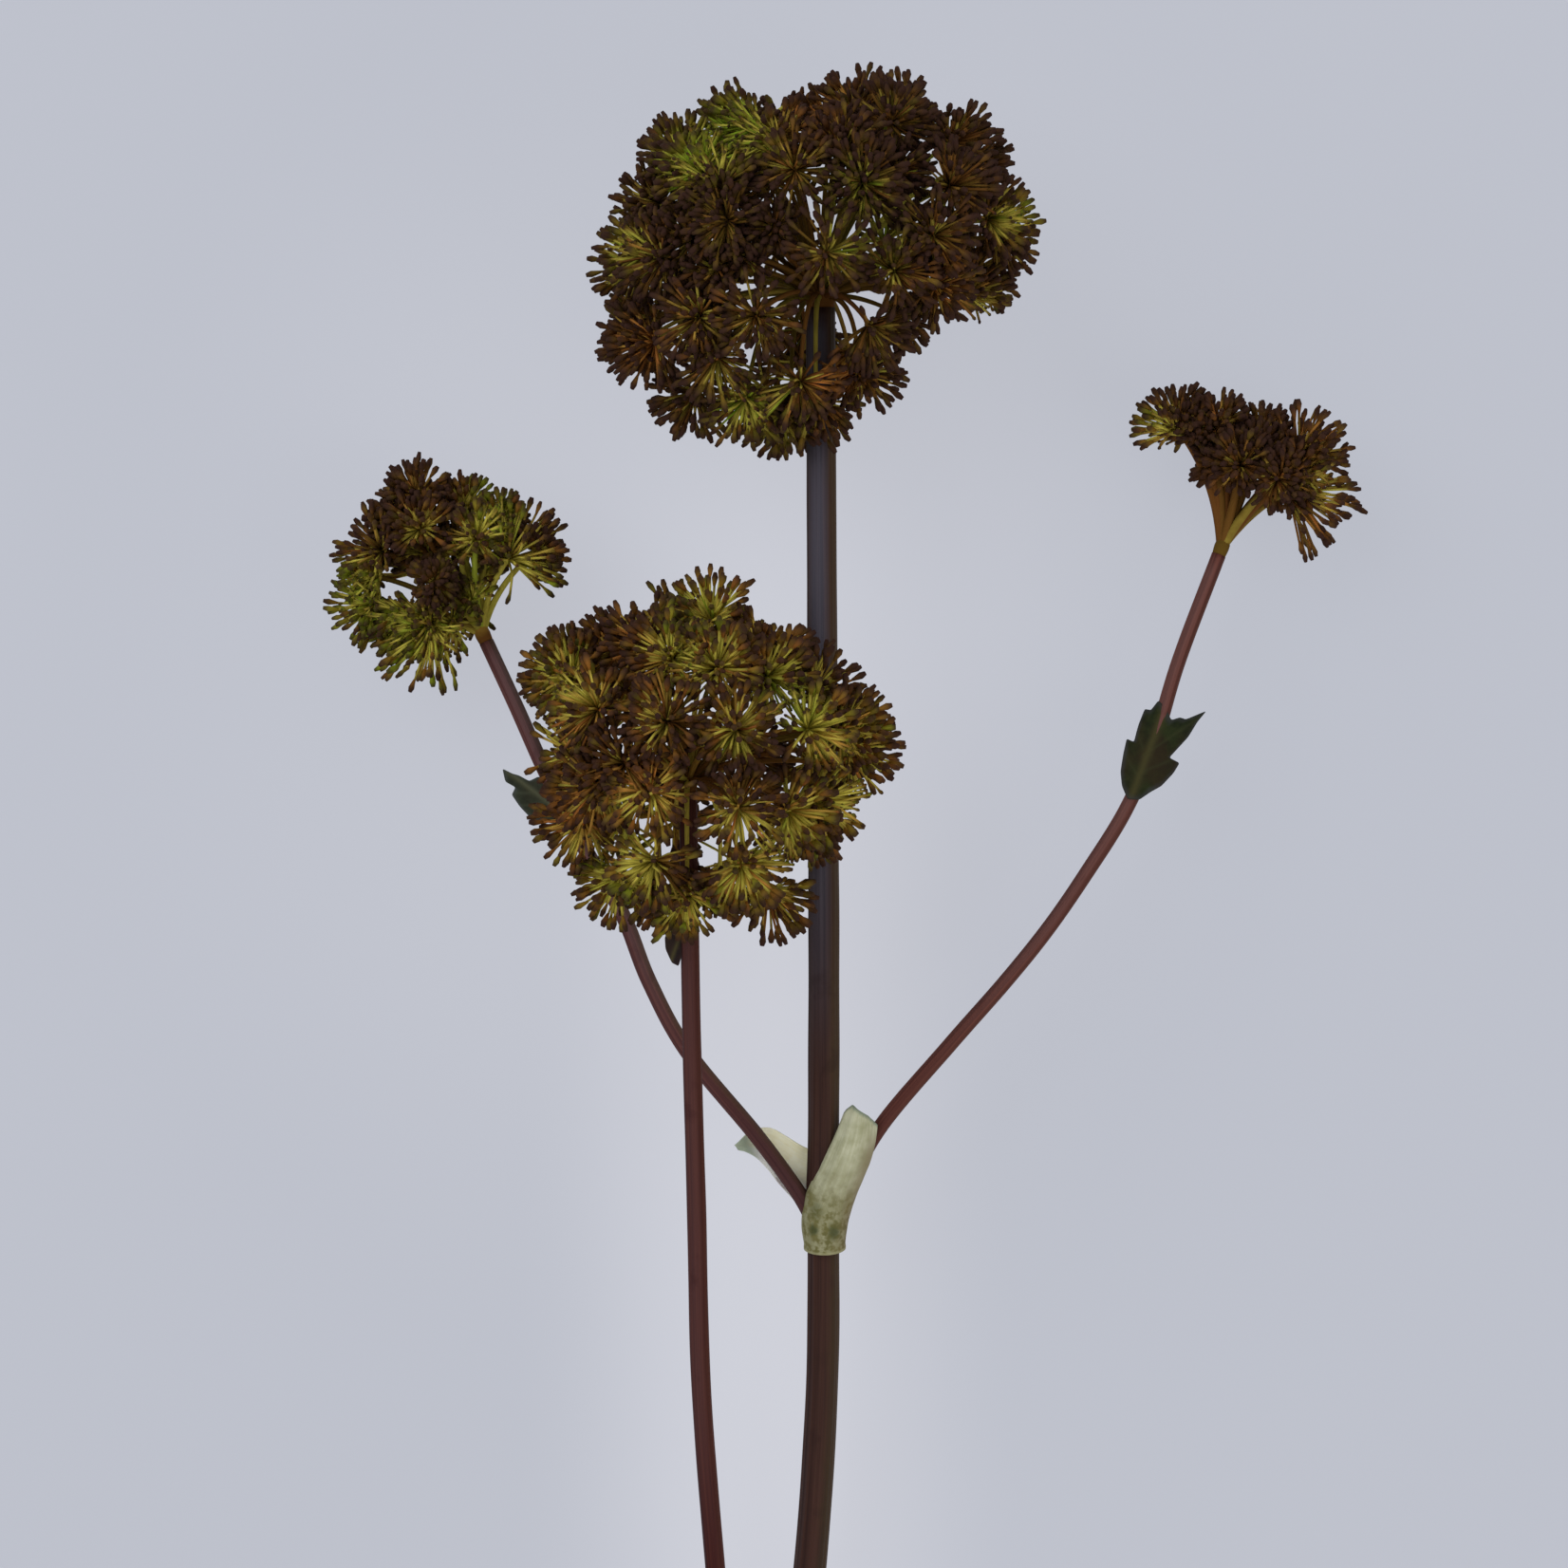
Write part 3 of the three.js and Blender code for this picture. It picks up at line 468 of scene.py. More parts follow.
def stemPiece(stem):
    # Rings along the centre line, each (1 + broad ribs + fine ribs + slow waver) times the radius there.
    name, around, relief = stem["name"], stem["around"], stemRelief
    line = smoothLine(stem["route"], stem["rings"])
    t = np.linspace(0, 1, stem["rings"])
    broad, fine = stem["ribs"]
    angle = np.arange(around) * 2 * np.pi / around
    length = np.linalg.norm(np.diff(line, axis=0), axis=1).sum()
    drift = relief["drift"] * np.sin(2 * np.pi * t * length / relief["driftLength"])[:, None]
    waver = relief["waver"] * np.sin(2 * np.pi * t * length / relief["waverLength"] + 1.3)[:, None]
    waver = waver * np.cos(2 * angle + 5 * t[:, None])
    ribs = relief["broad"] * np.cos(broad * (angle + drift * 0.3))
    ribs = ribs + relief["fine"] * np.cos(fine * angle + drift)
    radii = stemRadius(stem, t, line[:, 1])[:, None] * (1 + ribs + waver)
    flat = np.cross(np.gradient(line, axis=0), (0, 0, 1))
    skin = tubes(line[None], flat[None], radii[None], around)
    grain = np.stack([np.cos(skin["turn"]), -np.sin(skin["turn"]), skin["along"] * length / 10], axis=1)
    values = {"grain": grain, "along": skin["along"]}
    faces = [skin["quads"], skin["caps"]]
    finish = makeFinish(name + "_skin", stemFinish, stem["look"], gloss=0.08)
    makePiece(name + "_ribbed", name, skin["points"], faces, values, finish)


for stemForm in stems:
    stemPiece(stemForm)

stemSamples = np.linspace(0, 1, 121)  # where the seed heads measure how near a stem is
stemLines = [smoothLine(stem["route"], stemSamples.size) for stem in stems]
stemPoints = np.concatenate(stemLines)
stemWidths = [stemRadius(stem, stemSamples, line[:, 1]) for stem, line in zip(stems, stemLines)]
stemWidths = np.concatenate(stemWidths)
print("stems done")


# Seed heads. Rim: angle, distance and for some a latitude. Tiers and infill: latitude, count, first angle.
# Sprigs and fillers: place from the centre and reach. Patches, shed spots and gaps: as the camera sees them.
# Patches set warmth and painted light and shade.

tuft = dict(
    knotRadius=1.25, stalkRadius=0.4, neckRadius=0.44, raySteps=14, raySides=7,
    spread=-0.3, bare=0.55, jitter=0.2, bend=0.15, sizes=(0.82, 1.12),
    shedLength=0.4, shedWidth=0.6, lowest=1.1, knotRoom=3.55, hubHeight=2.5,
    warmthSpread=0.24, paintedLightSpread=0.08, ownWeight=0.2,
    room=[(1, 1.5, 0.6), (0.6, 1.3, 0.5)],  # share of the length, room to stems and to gaps there
)
fruitProfile = [(0.0, 0.38), (0.64, 1.0), (0.97, 0.6)]  # place along it and share of its radius
hubProfile = [  # height on the stem's end and how much wider than the stem
    (0.0, -0.1), (0.35, 0), (1.4, 0.12), (2.5, 0.2), (3.8, 0.1), (4.8, -0.5), (5.6, -1.4),
]

headTop = dict(
    name="head_top", stem=mainStem, centre=(-2, 620.5, 60.5), height=47, reach=15, seed=17,
    rim=[
        (9, 53.5), (34, 54), (59, 51.3), (84, 42.5), (121, 45), (141, 50), (159, 48.5), (181, 52),
        (204, 54.5), (227, 51.5), (257, 45, 6), (291, 35.5, 12), (328, 26), (349, 45),
    ],
    tiers=[(36, 9, 25), (61, 6, 50), (86, 1, 0), (-42, 6, 0), (-74, 3, 10)], sprigs=[],
    infill=[(17, 11, 12), (48, 5, 0), (-20, 11, 0), (-58, 5, 40)],
    fillers=[
        (-36, 4, 28, 13), (-24, 14, 34, 13), (-28, -5, 32, 12), (-31, -14, 24, 13), (14, 15, 38, 12),
        (-33, 18, 14, 13), (22, 24, 28, 13), (6, 30, 32, 12), (30, 4, 30, 12), (-12, 6, 38, 10),
        (-20, -2, 34, 11),
    ],
    florets=162, fruit=(4.4, 0.98), shorter=0.45,
    upPaleness=0.2, rays=(0.9, 0.6), rayPaintedLight=-0.2, warmth=0.25, paintedLight=0.08,
    patches=[  # place as seen, size, warmth and painted light, high where the umbellets are lit and low where they lie in painted shade
        (-28, 662, 10, -0.7, 1.15), (-40, 654, 8, -0.65, 0.95), (59, 638, 6, -0.35, 1.1),
        (-1, 668, 8, 0.7, 0.5), (35, 619, 8, 0.7, 0.4), (3, 589, 4.5, 1.3, 0.8), (-60, 632, 5, -0.2, 0.9),
        (-62, 621, 5, -0.1, 0.8), (-55, 597, 7, 0.9, 0.35), (-22, 579, 8, -0.3, 0.9), (-13, 572, 7, 0, 0.7),
        (-34, 605, 10, 0.3, 0.4), (16, 634, 9, -0.4, 0.45), (8, 647, 7, -0.5, 0.4), (45, 655, 12, 0.5, -0.05),
        (28, 655, 12, 0.2, -0.15), (-26, 641, 10, 0.1, -0.15), (50, 607, 6, -0.1, 0.9),
        (27, 606, 8, 0.1, -0.05),
    ],
    shed=[  # place as seen and size
        (-28, 661, 8.5), (-40, 653, 6), (58, 637, 6), (-60, 630, 6), (-22, 580, 7), (2, 589, 5), (50, 607, 5),
    ],
    gaps=[
        (8, 608.5, 6), (15.5, 611.5, 3), (-3, 632, 2.6), (8.5, 633, 2), (-11.5, 621, 2.8),
        (-21.5, 618.5, 2.2), (-31, 591.5, 2.2), (-46, 605.7, 1.8), (-11.5, 588, 1.8), (46, 601, 7),
        (-16.5, 682, 10), (38, 677, 6), (30, 590, 4), (16, 577, 5),
    ],
)

headFront = dict(
    name="head_front", stem=frontBranch, centre=(-33.4, 474.5, 86), height=41, reach=15.5, seed=2,
    rim=[
        (5, 41), (33, 36), (62, 35), (88, 40.5), (118, 39.5), (147, 46), (177, 37), (205, 39), (233, 41),
        (262, 42, 26), (295, 41), (333, 33.5),
    ],
    tiers=[(38, 8, 15), (66, 4, 35), (-42, 5, 0), (-76, 2, 0)], sprigs=[],
    infill=[(16, 8, 20), (52, 4, 0), (-20, 8, 10), (-60, 3, 0)],
    fillers=[(-26, 31, 2, 14.5), (-12.6, -36, 4, 14), (3.5, -33, 5, 13)],
    florets=180, fruit=(4.2, 1.02), shorter=0.35,
    upPaleness=0.45, rays=(0.9, 0.6), rayPaintedLight=-0.25, warmth=0.35, paintedLight=0.82,
    patches=[
        (-43, 441, 6, 0.4, -0.2), (-40, 429, 8, 0, 1.1), (-7, 494, 8, -0.45, 0.95), (5, 479, 8, 0.1, 1.1),
        (-2, 463, 8, 0.1, 1), (12, 463, 7, 0, 1.1), (-18, 472, 9, 0.4, -0.1), (4, 507, 9, 0.5, -0.05),
        (-65, 478, 9, 0.6, 0.1), (-58, 508, 8, 0.7, 0.4), (-77, 500, 8, 0, 1.1), (-42, 508, 8, -0.1, 1),
        (-35, 524, 8, -0.1, 1.1), (-42, 486, 5, 0.3, -0.2), (-24, 479, 4, -0.3, 0.6), (-73, 458, 6, 0.8, 0.7),
        (-59, 443, 9, -0.1, 1), (-14, 446, 9, 0, 1), (-53, 473, 4, 0.9, 0.6), (-14, 426, 6, 0.3, 0.1),
        (-36, 471, 4, 0.3, -0.4), (-83, 484, 7, 0.1, 1.1), (-72, 449, 5, 0, 1.1), (-62, 464, 4, 0.1, 1),
    ],
    shed=[
        (-77, 498, 6), (-42, 506, 6), (-35, 520, 5), (-7, 492, 7), (5, 478, 7), (10, 463, 6), (-58, 443, 7),
        (-39, 430, 6), (-14, 447, 7), (-81, 484, 5), (-71, 449, 5), (-60, 464, 5),
    ],
    gaps=[
        (-53.5, 456, 3.2), (-49, 467, 2), (-59.5, 459, 1.8), (-32, 446, 3.4), (-24, 455, 2.4),
        (-31, 474, 1.4), (-47.5, 447, 2.6), (-7, 442, 1.5), (-56, 430, 1.8), (11, 449, 5), (-58, 529, 9),
        (-14.5, 524, 8), (-82, 478, 1.8), (-81.5, 470, 1.4), (-8, 521, 7), (-27, 421, 6.5), (-26, 439.5, 2.5),
        (-86, 517, 3),
    ],
)

headLeft = dict(
    name="head_left", stem=leftBranch, centre=(-112.4, 528.8, 36), seed=23, rim=[], tiers=[],
    sprigs=[
        (18.8, 6.4, 4, 19), (-2.5, -1, 15, 9), (-8.2, 25, 3, 12), (4.7, 21, -3, 12), (-18.5, 8.6, 5, 15.5),
        (-21, -6.5, 1, 14.5), (-4.2, -13.8, 4, 20.5), (15.5, 17.5, 3, 10.5), (10, 12, 12, 12),
        (-6.8, 15, 11, 12.5), (-8, 3, -15, 15), (6, -3, -14, 14),
    ],
    infill=[],
    fillers=[
        (8, -6, 3, 9), (10, 1, -4, 11), (-5, -11, 5, 14), (-11, -9, 3, 14), (2, -12, 2, 13), (-20, 1, 3, 12),
        (-14, 17, 3, 11), (8, 6, 0, 20), (27, 9, 2, 9), (4, 8, 2, 12), (-6, 8, -2, 14), (-13, -13, -3, 12),
    ],
    florets=180, fruit=(4.2, 0.95), shorter=0.35,
    upPaleness=0.6, rays=(1.15, 0.75), rayPaintedLight=-0.3, warmth=0.15, paintedLight=0.92,
    patches=[
        (-139, 526, 8, -0.35, 1.1), (-128, 514, 7, -0.4, 1), (-97, 549, 7, -0.35, 1),
        (-109, 543, 5, 0.1, 0.6), (-124, 561, 8, 0.5, 0), (-133, 543, 8, 0.4, 0), (-81, 543, 6, 0.5, 0),
        (-114, 528, 5, 0.3, -0.1), (-85, 533, 6, 0, 1.1), (-103, 523, 6, -0.3, 1), (-112, 508, 8, 0, 1),
        (-115, 553, 5, 0.4, 0.45),
    ],
    shed=[
        (-97, 548, 6), (-138, 525, 7), (-127, 515, 6), (-113, 511, 7), (-88, 532, 5), (-103, 527, 5),
        (-108, 542, 4),
    ],
    gaps=[
        (-129, 526.8, 3.2), (-123, 527, 2.6), (-105, 535, 1.6), (-102, 506, 4), (-95.5, 520.5, 6.5),
        (-93.5, 529, 2.5), (-146, 547, 5.5),
    ],
)

headRight = dict(
    name="head_right", stem=rightBranch, centre=(132, 560, 28), seed=20, rim=[], tiers=[],
    sprigs=[
        (-24.8, 14.7, 2, 14.5), (-12.7, 15.8, 3, 11.5), (-16, 11, 4, 9.5), (0.5, 11, -3, 13),
        (10.6, 6.6, 5, 16.5), (8.6, -4, 2, 22), (-7, 3, 11, 13), (4, -1, 13, 12), (-5, 4, -11, 11),
        (6, 1, -12, 13),
    ],
    infill=[], fillers=[(-13, 4, 2, 10), (-1, 6, 6, 12), (9, 0, 8, 13), (-20, 13, 3, 11)],
    florets=180, fruit=(4.2, 0.95), shorter=0.3,
    upPaleness=0.25, rays=(1.6, 0.85), rayPaintedLight=-0.4, warmth=0.5, paintedLight=0.4,
    patches=[
        (120.5, 543, 5, -0.4, 1), (120.4, 556.6, 5, 1.1, 0.3), (98, 576, 6, -0.1, 1.1), (107, 585, 7, 0.5, 0),
        (120, 576, 5, 0.5, 0.6), (124, 566, 8, 0.4, -0.1), (143, 568, 8, 0.6, 0.2), (149, 560, 6, 0, 0.9),
        (140, 554, 5, 0.4, 0), (121, 546, 7, 0.1, 0.3),
    ],
    shed=[(100, 574, 4), (149, 558, 5), (121, 545, 5)],
    gaps=[
        (101, 564, 5.5), (107, 565.6, 4.2), (127, 551, 2), (118.3, 580.6, 0.8), (124, 573, 0.9),
        (135.5, 537.5, 5),
    ],
)


def rimAt(rim, angle):  # the distance of the rim's knots at an angle, eased between those that are given
    angle = angle % 360
    after = next((i for i, place in enumerate(rim) if place[0] > angle), 0)
    low, high = rim[after - 1], rim[after]
    share = ((angle - low[0]) % 360) / ((high[0] - low[0]) % 360)
    return low[1] + (high[1] - low[1]) * (1 - math.cos(share * math.pi)) / 2


def knotPlaces(head):
    # The rim's knots, the tiers' and the single ones, and after them the infill's, with the part's own seeded
    # wobble. The fourth number of each is how far its florets reach, and main is where the infill begins.
    places = []

    def wobble(width):
        return width * (draw(head["seed"], len(places)) - 0.5)

    def addAt(angle, level):
        out = rimAt(head["rim"], angle) * math.cos(math.radians(level))
        turn = math.radians(angle)
        high = head["height"] * math.sin(math.radians(level))
        places.append((out * math.cos(turn), out * math.sin(turn), high, head["reach"]))

    def addTiers(tiers, turnWobble, levelWobble):
        for level, count, first in tiers:
            for i in range(count):
                addAt(first + (i * 360 + wobble(turnWobble)) / count, level + wobble(levelWobble))

    for place in head["rim"]:
        addAt(place[0], place[2] if len(place) > 2 else wobble(width=16))
    addTiers(head["tiers"], turnWobble=90, levelWobble=9)
    places += head["sprigs"] + head["fillers"]
    main = len(places)
    addTiers(head["infill"], turnWobble=120, levelWobble=12)
    return np.array(places, float) + (*head["centre"], 0), main


def asSeen(points):  # places carried along the camera's line of sight to one height
    east, north, high = studio["camera"]
    share = (high - studio["seenHeight"]) / (high - points[..., 2:])
    return (east, north) + (points[..., :2] - (east, north)) * share


def clearOfGaps(gaps, points, margin):  # whether each place, as seen, is outside every gap by a margin
    seen = asSeen(points)
    clear = np.ones(seen.shape[:-1], bool)
    for x, y, size in gaps:
        clear &= np.hypot(seen[..., 0] - x, seen[..., 1] - y) > size + margin
    return clear


def clearOfStems(points, width):  # whether each place is further from every stem than its radius and a width
    away = np.linalg.norm(points[..., None, :] - stemPoints, axis=-1)
    return np.all(away > stemWidths + width, axis=-1)


def rayCurves(hub, axis, knots, steps):
    # A quadratic curve from hub to knot, its middle point set ahead along the stem and wide of it.
    span = knots - hub
    ahead = dot(span, axis)
    aside = span - axis * ahead
    length = np.linalg.norm(span, axis=1, keepdims=True)
    width = 0.34 * np.linalg.norm(aside, axis=1, keepdims=True) + 0.45 * np.maximum(-ahead, 0)
    bend = hub + unit(aside) * width + axis * (0.5 * np.maximum(ahead, 0) + 0.12 * length)
    t = np.linspace(0, 1, steps)[:, None]
    line = (1 - t) ** 2 * hub + 2 * t * (1 - t) * bend[:, None] + t ** 2 * knots[:, None]
    return line, unit(bend - knots), np.cross(span, aside + axis * 1e-3)


def spreadKnots(head, hub, axis):
    # The knots clear of stems and gaps, their florets' reach, their rays, and for each ray the direction back
    # along it and one across it. Only an infill knot's ray has to keep out of the gaps.
    knots, main = knotPlaces(head)
    knots, reaches = knots[:, :3], knots[:, 3:]
    rays, back, flat = rayCurves(hub, axis, knots, tuft["raySteps"])
    clear = clearOfStems(knots, tuft["knotRoom"]) & clearOfGaps(head["gaps"], knots, -0.5)
    clear &= clearOfGaps(head["gaps"], rays[:, 5:], 0.5).all(axis=1) | (np.arange(len(knots)) < main)
    return [part[clear] for part in (knots, reaches, rays, back, flat)]


def evenDirections(count):  # a spiral that spreads directions evenly over a ball
    i = np.arange(count) + 0.5
    z = 1 - 2 * i / count
    turn = i * math.pi * (3 - math.sqrt(5))
    out = np.sqrt(1 - z * z)
    return np.stack([out * np.cos(turn), out * np.sin(turn), z], axis=1)


def turnedFrames(facing, rng):  # three axes for each knot, turned by a drawn angle about the last
    helper = np.where(np.abs(facing[:, 2:]) < 0.9, (0.0, 0.0, 1.0), (1.0, 0.0, 0.0))
    first = unit(np.cross(helper, facing))
    second = np.cross(facing, first)
    spin = rng.uniform(0, 2 * np.pi, (len(facing), 1))
    turned = np.cos(spin) * first + np.sin(spin) * second
    return np.stack([turned, np.cross(facing, turned), facing], axis=1)


def floretRoots(head, knots, reaches, frames, back, rng):
    # Each floret's root, direction and length: even directions with a jitter, kept where they point outwards,
    # not back along the ray, and clear of stems and gaps.
    directions = evenDirections(head["florets"]) @ frames
    directions = unit(directions + rng.normal(0, tuft["jitter"], directions.shape))
    outward = np.sum(directions * frames[:, 2:], axis=-1)
    backward = np.sum(directions * back[:, None], axis=-1)
    kept = (outward > tuft["spread"] * rng.uniform(0, 1, outward.shape)) & (backward < tuft["bare"])
    reach = reaches * (0.98 + 0.08 * outward - head["shorter"] * rng.uniform(0, 1, outward.shape) ** 2)
    for share, toStems, toGaps in tuft["room"]:
        places = knots[:, None] + directions * reach[..., None] * share
        kept &= clearOfStems(places, toStems) & clearOfGaps(head["gaps"], places, toGaps)
    roots = np.repeat(knots[:, None], head["florets"], axis=1)
    return roots[kept], directions[kept], reach[kept][:, None]


def floretSkins(head, root, direction, length, rng):
    # A stalk, then a fruit, along root + direction . length . s + bow . s^2. The bow is drawn, and keeps them
    # off the floor. The fruit is small and short where the head has shed most of them.
    bow = rng.normal(0, tuft["bend"], direction.shape) * length
    bow -= direction * dot(bow, direction)
    bow[:, 2] += np.maximum(tuft["lowest"] - (root + direction * length + bow)[:, 2], 0)
    flat = np.cross(direction, bow + (1e-3, 2e-3, 3e-3))[:, None]
    shed = ~clearOfGaps(head["shed"], root + direction * length, 0)[:, None]
    fruitLength, fruitRadius = head["fruit"]
    split = 1 - fruitLength * np.where(shed, tuft["shedLength"], 1) / length

    def skinAlong(shares, radii, around):
        line = root[:, None] + direction[:, None] * (length * shares)[..., None]
        return tubes(line + bow[:, None] * (shares ** 2)[..., None], flat, radii, around)

    stalkRadii = np.linspace(tuft["stalkRadius"], tuft["neckRadius"], 3)
    stalks = skinAlong(np.linspace(0, 1, 3) * (split + 0.04), stalkRadii, 3)
    place, width = np.array(fruitProfile).T
    size = rng.uniform(*tuft["sizes"], (len(root), 1)) * np.where(shed, tuft["shedWidth"], 1)
    return stalks, skinAlong(split + (1 - split) * place, fruitRadius * size * width, 5)


def knotSkins(knots, frames):  # a small barrel at each knot, along its facing
    steps = np.array([-1.1, -0.5, 0.5, 1.1])[:, None]
    radii = tuft["knotRadius"] * np.array([0.45, 1.0, 1.0, 0.4])
    return tubes(knots[:, None] + frames[:, 2:] * steps * tuft["knotRadius"], frames[:, :1], radii, 7)


def hubSkins(end, axis, radius):  # a swelling at the stem's end, of hubProfile
    height, wider = np.array(hubProfile).T
    line = end + axis * height[:, None]
    return tubes(line[None], np.cross(axis, (0, 0, 1.0))[None, None], (radius + wider).clip(0.3), 18)


def patchValues(head, points):
    # The head's own warmth and painted light, drawn towards each patch by exp(-(distance / size)^2).
    weights = [np.full(len(points), tuft["ownWeight"])]
    warmths, paintedLights = [head["warmth"]], [head["paintedLight"]]
    seen = asSeen(points)
    for x, y, size, warmth, paintedLight in head["patches"]:
        weights.append(np.exp(-((seen[:, 0] - x) ** 2 + (seen[:, 1] - y) ** 2) / size ** 2))
        warmths.append(warmth)
        paintedLights.append(paintedLight)
    weights = np.array(weights)
    return (weights.T @ warmths) / weights.sum(axis=0), (weights.T @ paintedLights) / weights.sum(axis=0)


def storeTones(head, skin, rng):  # each tube's warmth, painted light and tone, with drawn changes
    hearts = skin["points"].reshape(-1, skin["each"], 3).mean(axis=1)
    warmth, paintedLight = patchValues(head, hearts)
    skin["tone"] = np.repeat(rng.uniform(0, 1, len(hearts)), skin["each"])
    skin["warmth"] = np.repeat(warmth + rng.normal(0, tuft["warmthSpread"], len(hearts)), skin["each"])
    skin["paintedLight"] = np.repeat(paintedLight + rng.normal(0, tuft["paintedLightSpread"], len(hearts)), skin["each"])


def skinPiece(name, node, skins, material):  # several sets of tubes as one piece
    starts = np.cumsum([0] + [len(skin["points"]) for skin in skins])
    points = np.concatenate([skin["points"] for skin in skins])
    faces = [skin[key] + start for key in ("quads", "caps") for skin, start in zip(skins, starts)]
    values = {key: np.concatenate([skin[key] for skin in skins]) for key in headValues}
    makePiece(name, node, points, faces, values, material)


def headPieces(head, stalkMaterial, fruitMaterial):
    # Rays from a hub to knots, and round each knot stalks that bend a little and end in club-shaped fruits.
    name, stem = head["name"], head["stem"]
    rng = np.random.default_rng(head["seed"])
    line = smoothLine(stem["route"], 400)
    end, axis = line[-1], unit(line[-1] - line[-4])
    knots, reaches, rays, back, rayFlat = spreadKnots(head, end + tuft["hubHeight"] * axis, axis)
    rayRadii = np.linspace(*head["rays"], tuft["raySteps"])
    rayRadii[-1] = tuft["knotRadius"] * 0.9
    raySkin = tubes(rays, rayFlat[:, None], rayRadii, tuft["raySides"])
    frames = turnedFrames(unit(unit(knots - head["centre"]) - back), rng)
    root, direction, length = floretRoots(head, knots, reaches, frames, back, rng)
    stalkSkin, fruitSkin = floretSkins(head, root, direction, length, rng)
    knotSkin = knotSkins(knots, frames)
    hubSkin = hubSkins(end, axis, stem["radii"][1])

    for skin in (raySkin, stalkSkin, knotSkin, hubSkin, fruitSkin):
        storeTones(head, skin, rng)
    # Painted shade: the rays, deep inside the head, are dimmed.
    raySkin["paintedLight"] += head["rayPaintedLight"]
    # Painted shade: the hub grows dimmer towards the stem, down under the umbellets, and darker in tone.
    hubSkin["paintedLight"] = hubSkin["paintedLight"] * hubSkin["along"] - 0.2 * (1 - hubSkin["along"])
    hubSkin["tone"] *= 0.3
    for skin, along in ((raySkin, 0.35), (knotSkin, 0.2), (hubSkin, 0.1)):  # read as places along a stalk
        skin["along"][:] = along
    # The more a fruit faces up, the paler its tone.
    paler = np.repeat(direction[:, 2] ** 2 * np.sign(direction[:, 2]), fruitSkin["each"])
    fruitSkin["tone"] += 0.55 * paler.clip(-0.6, 1) * head["upPaleness"]

    skinPiece(name + "_stalks", name, (hubSkin, raySkin, knotSkin, stalkSkin), stalkMaterial)
    skinPiece(name + "_fruits", name, (fruitSkin,), fruitMaterial)
    print(name, len(knots), "umbellets,", len(root), "fruits")


stalkLook = dict(
    green=(142, 170, 42), olive=(206, 192, 80), rust=(202, 128, 62),
    # the dim colours are painted shade, darker copies of green and rust
    shadedGreen=(84, 77, 24), shadedRust=(106, 66, 30), neck=(104, 70, 34),
)
fruitLook = dict(
    dark=(63, 43, 31), tip=(52, 33, 28), lightOlive=(148, 134, 44), lightRust=(154, 100, 46),
    rootGreen=(148, 144, 42), rootRust=(166, 106, 44), unripe=(130, 154, 30),
)
stalkMaterial = makeFinish("stalk_green", stalkFinish, stalkLook, gloss=0.02)
fruitMaterial = makeFinish("fruit_brown", fruitFinish, fruitLook, gloss=0.02)
for headForm in (headTop, headFront, headLeft, headRight):
    headPieces(headForm, stalkMaterial, fruitMaterial)
print("seed heads done")


# Sheaths

sheath = dict(
    rings=[  # middle line, radius and the two angles spanned, from straight up and towards +X
        ((0.9, 329.2, 36.6), 5.6, (-140, 140)), ((0.8, 336.2, 37.4), 6.5, (-114, 128)),
        ((1.5, 341.6, 38), 6.9, (-86, 118)), ((3.2, 347.4, 38.9), 7, (-68, 106)),
        ((5.9, 353.6, 40), 7, (-60, 97)), ((8.4, 359.6, 40.8), 6.9, (-57, 88)),
        ((10.4, 365.4, 41.2), 6.3, (-56, 76)), ((11.5, 369, 41.5), 5.6, (-62, 64)),
    ],
    crown=((0, 0.2, 0.65, 1), (0, 3.2, 1.5, -0.7)),
    rows=90, columns=84, thickness=0.7, lip=0.35, lipLength=0.025, fold=0.2, bulge=0.25, sag=0.9,
    look=dict(
        pale=(158, 157, 122), cream=(200, 199, 170), vein=(130, 136, 94), veinShare=0.16,
        foot=(106, 100, 54), footBand=(0.2, 0.85), footShare=0.95,
        flank=(116, 97, 66), flankBand=(0, 0.75),
        hem=(116, 128, 110), hemBand=(0.965, 0.995),
        lip=(160, 156, 118), lipBand=(0.004, 0.022), lipShare=0.7,
        spot=(52, 60, 22), blotchUntil=(0.2, 0.6), blotchShare=0.26,
        spots=[(-2.6, 335.2, 0.0012, 0.85), (3.4, 334.6, 0.0015, 0.8), (-1.8, 341, 0.0016, 0.4)],
    ),
)


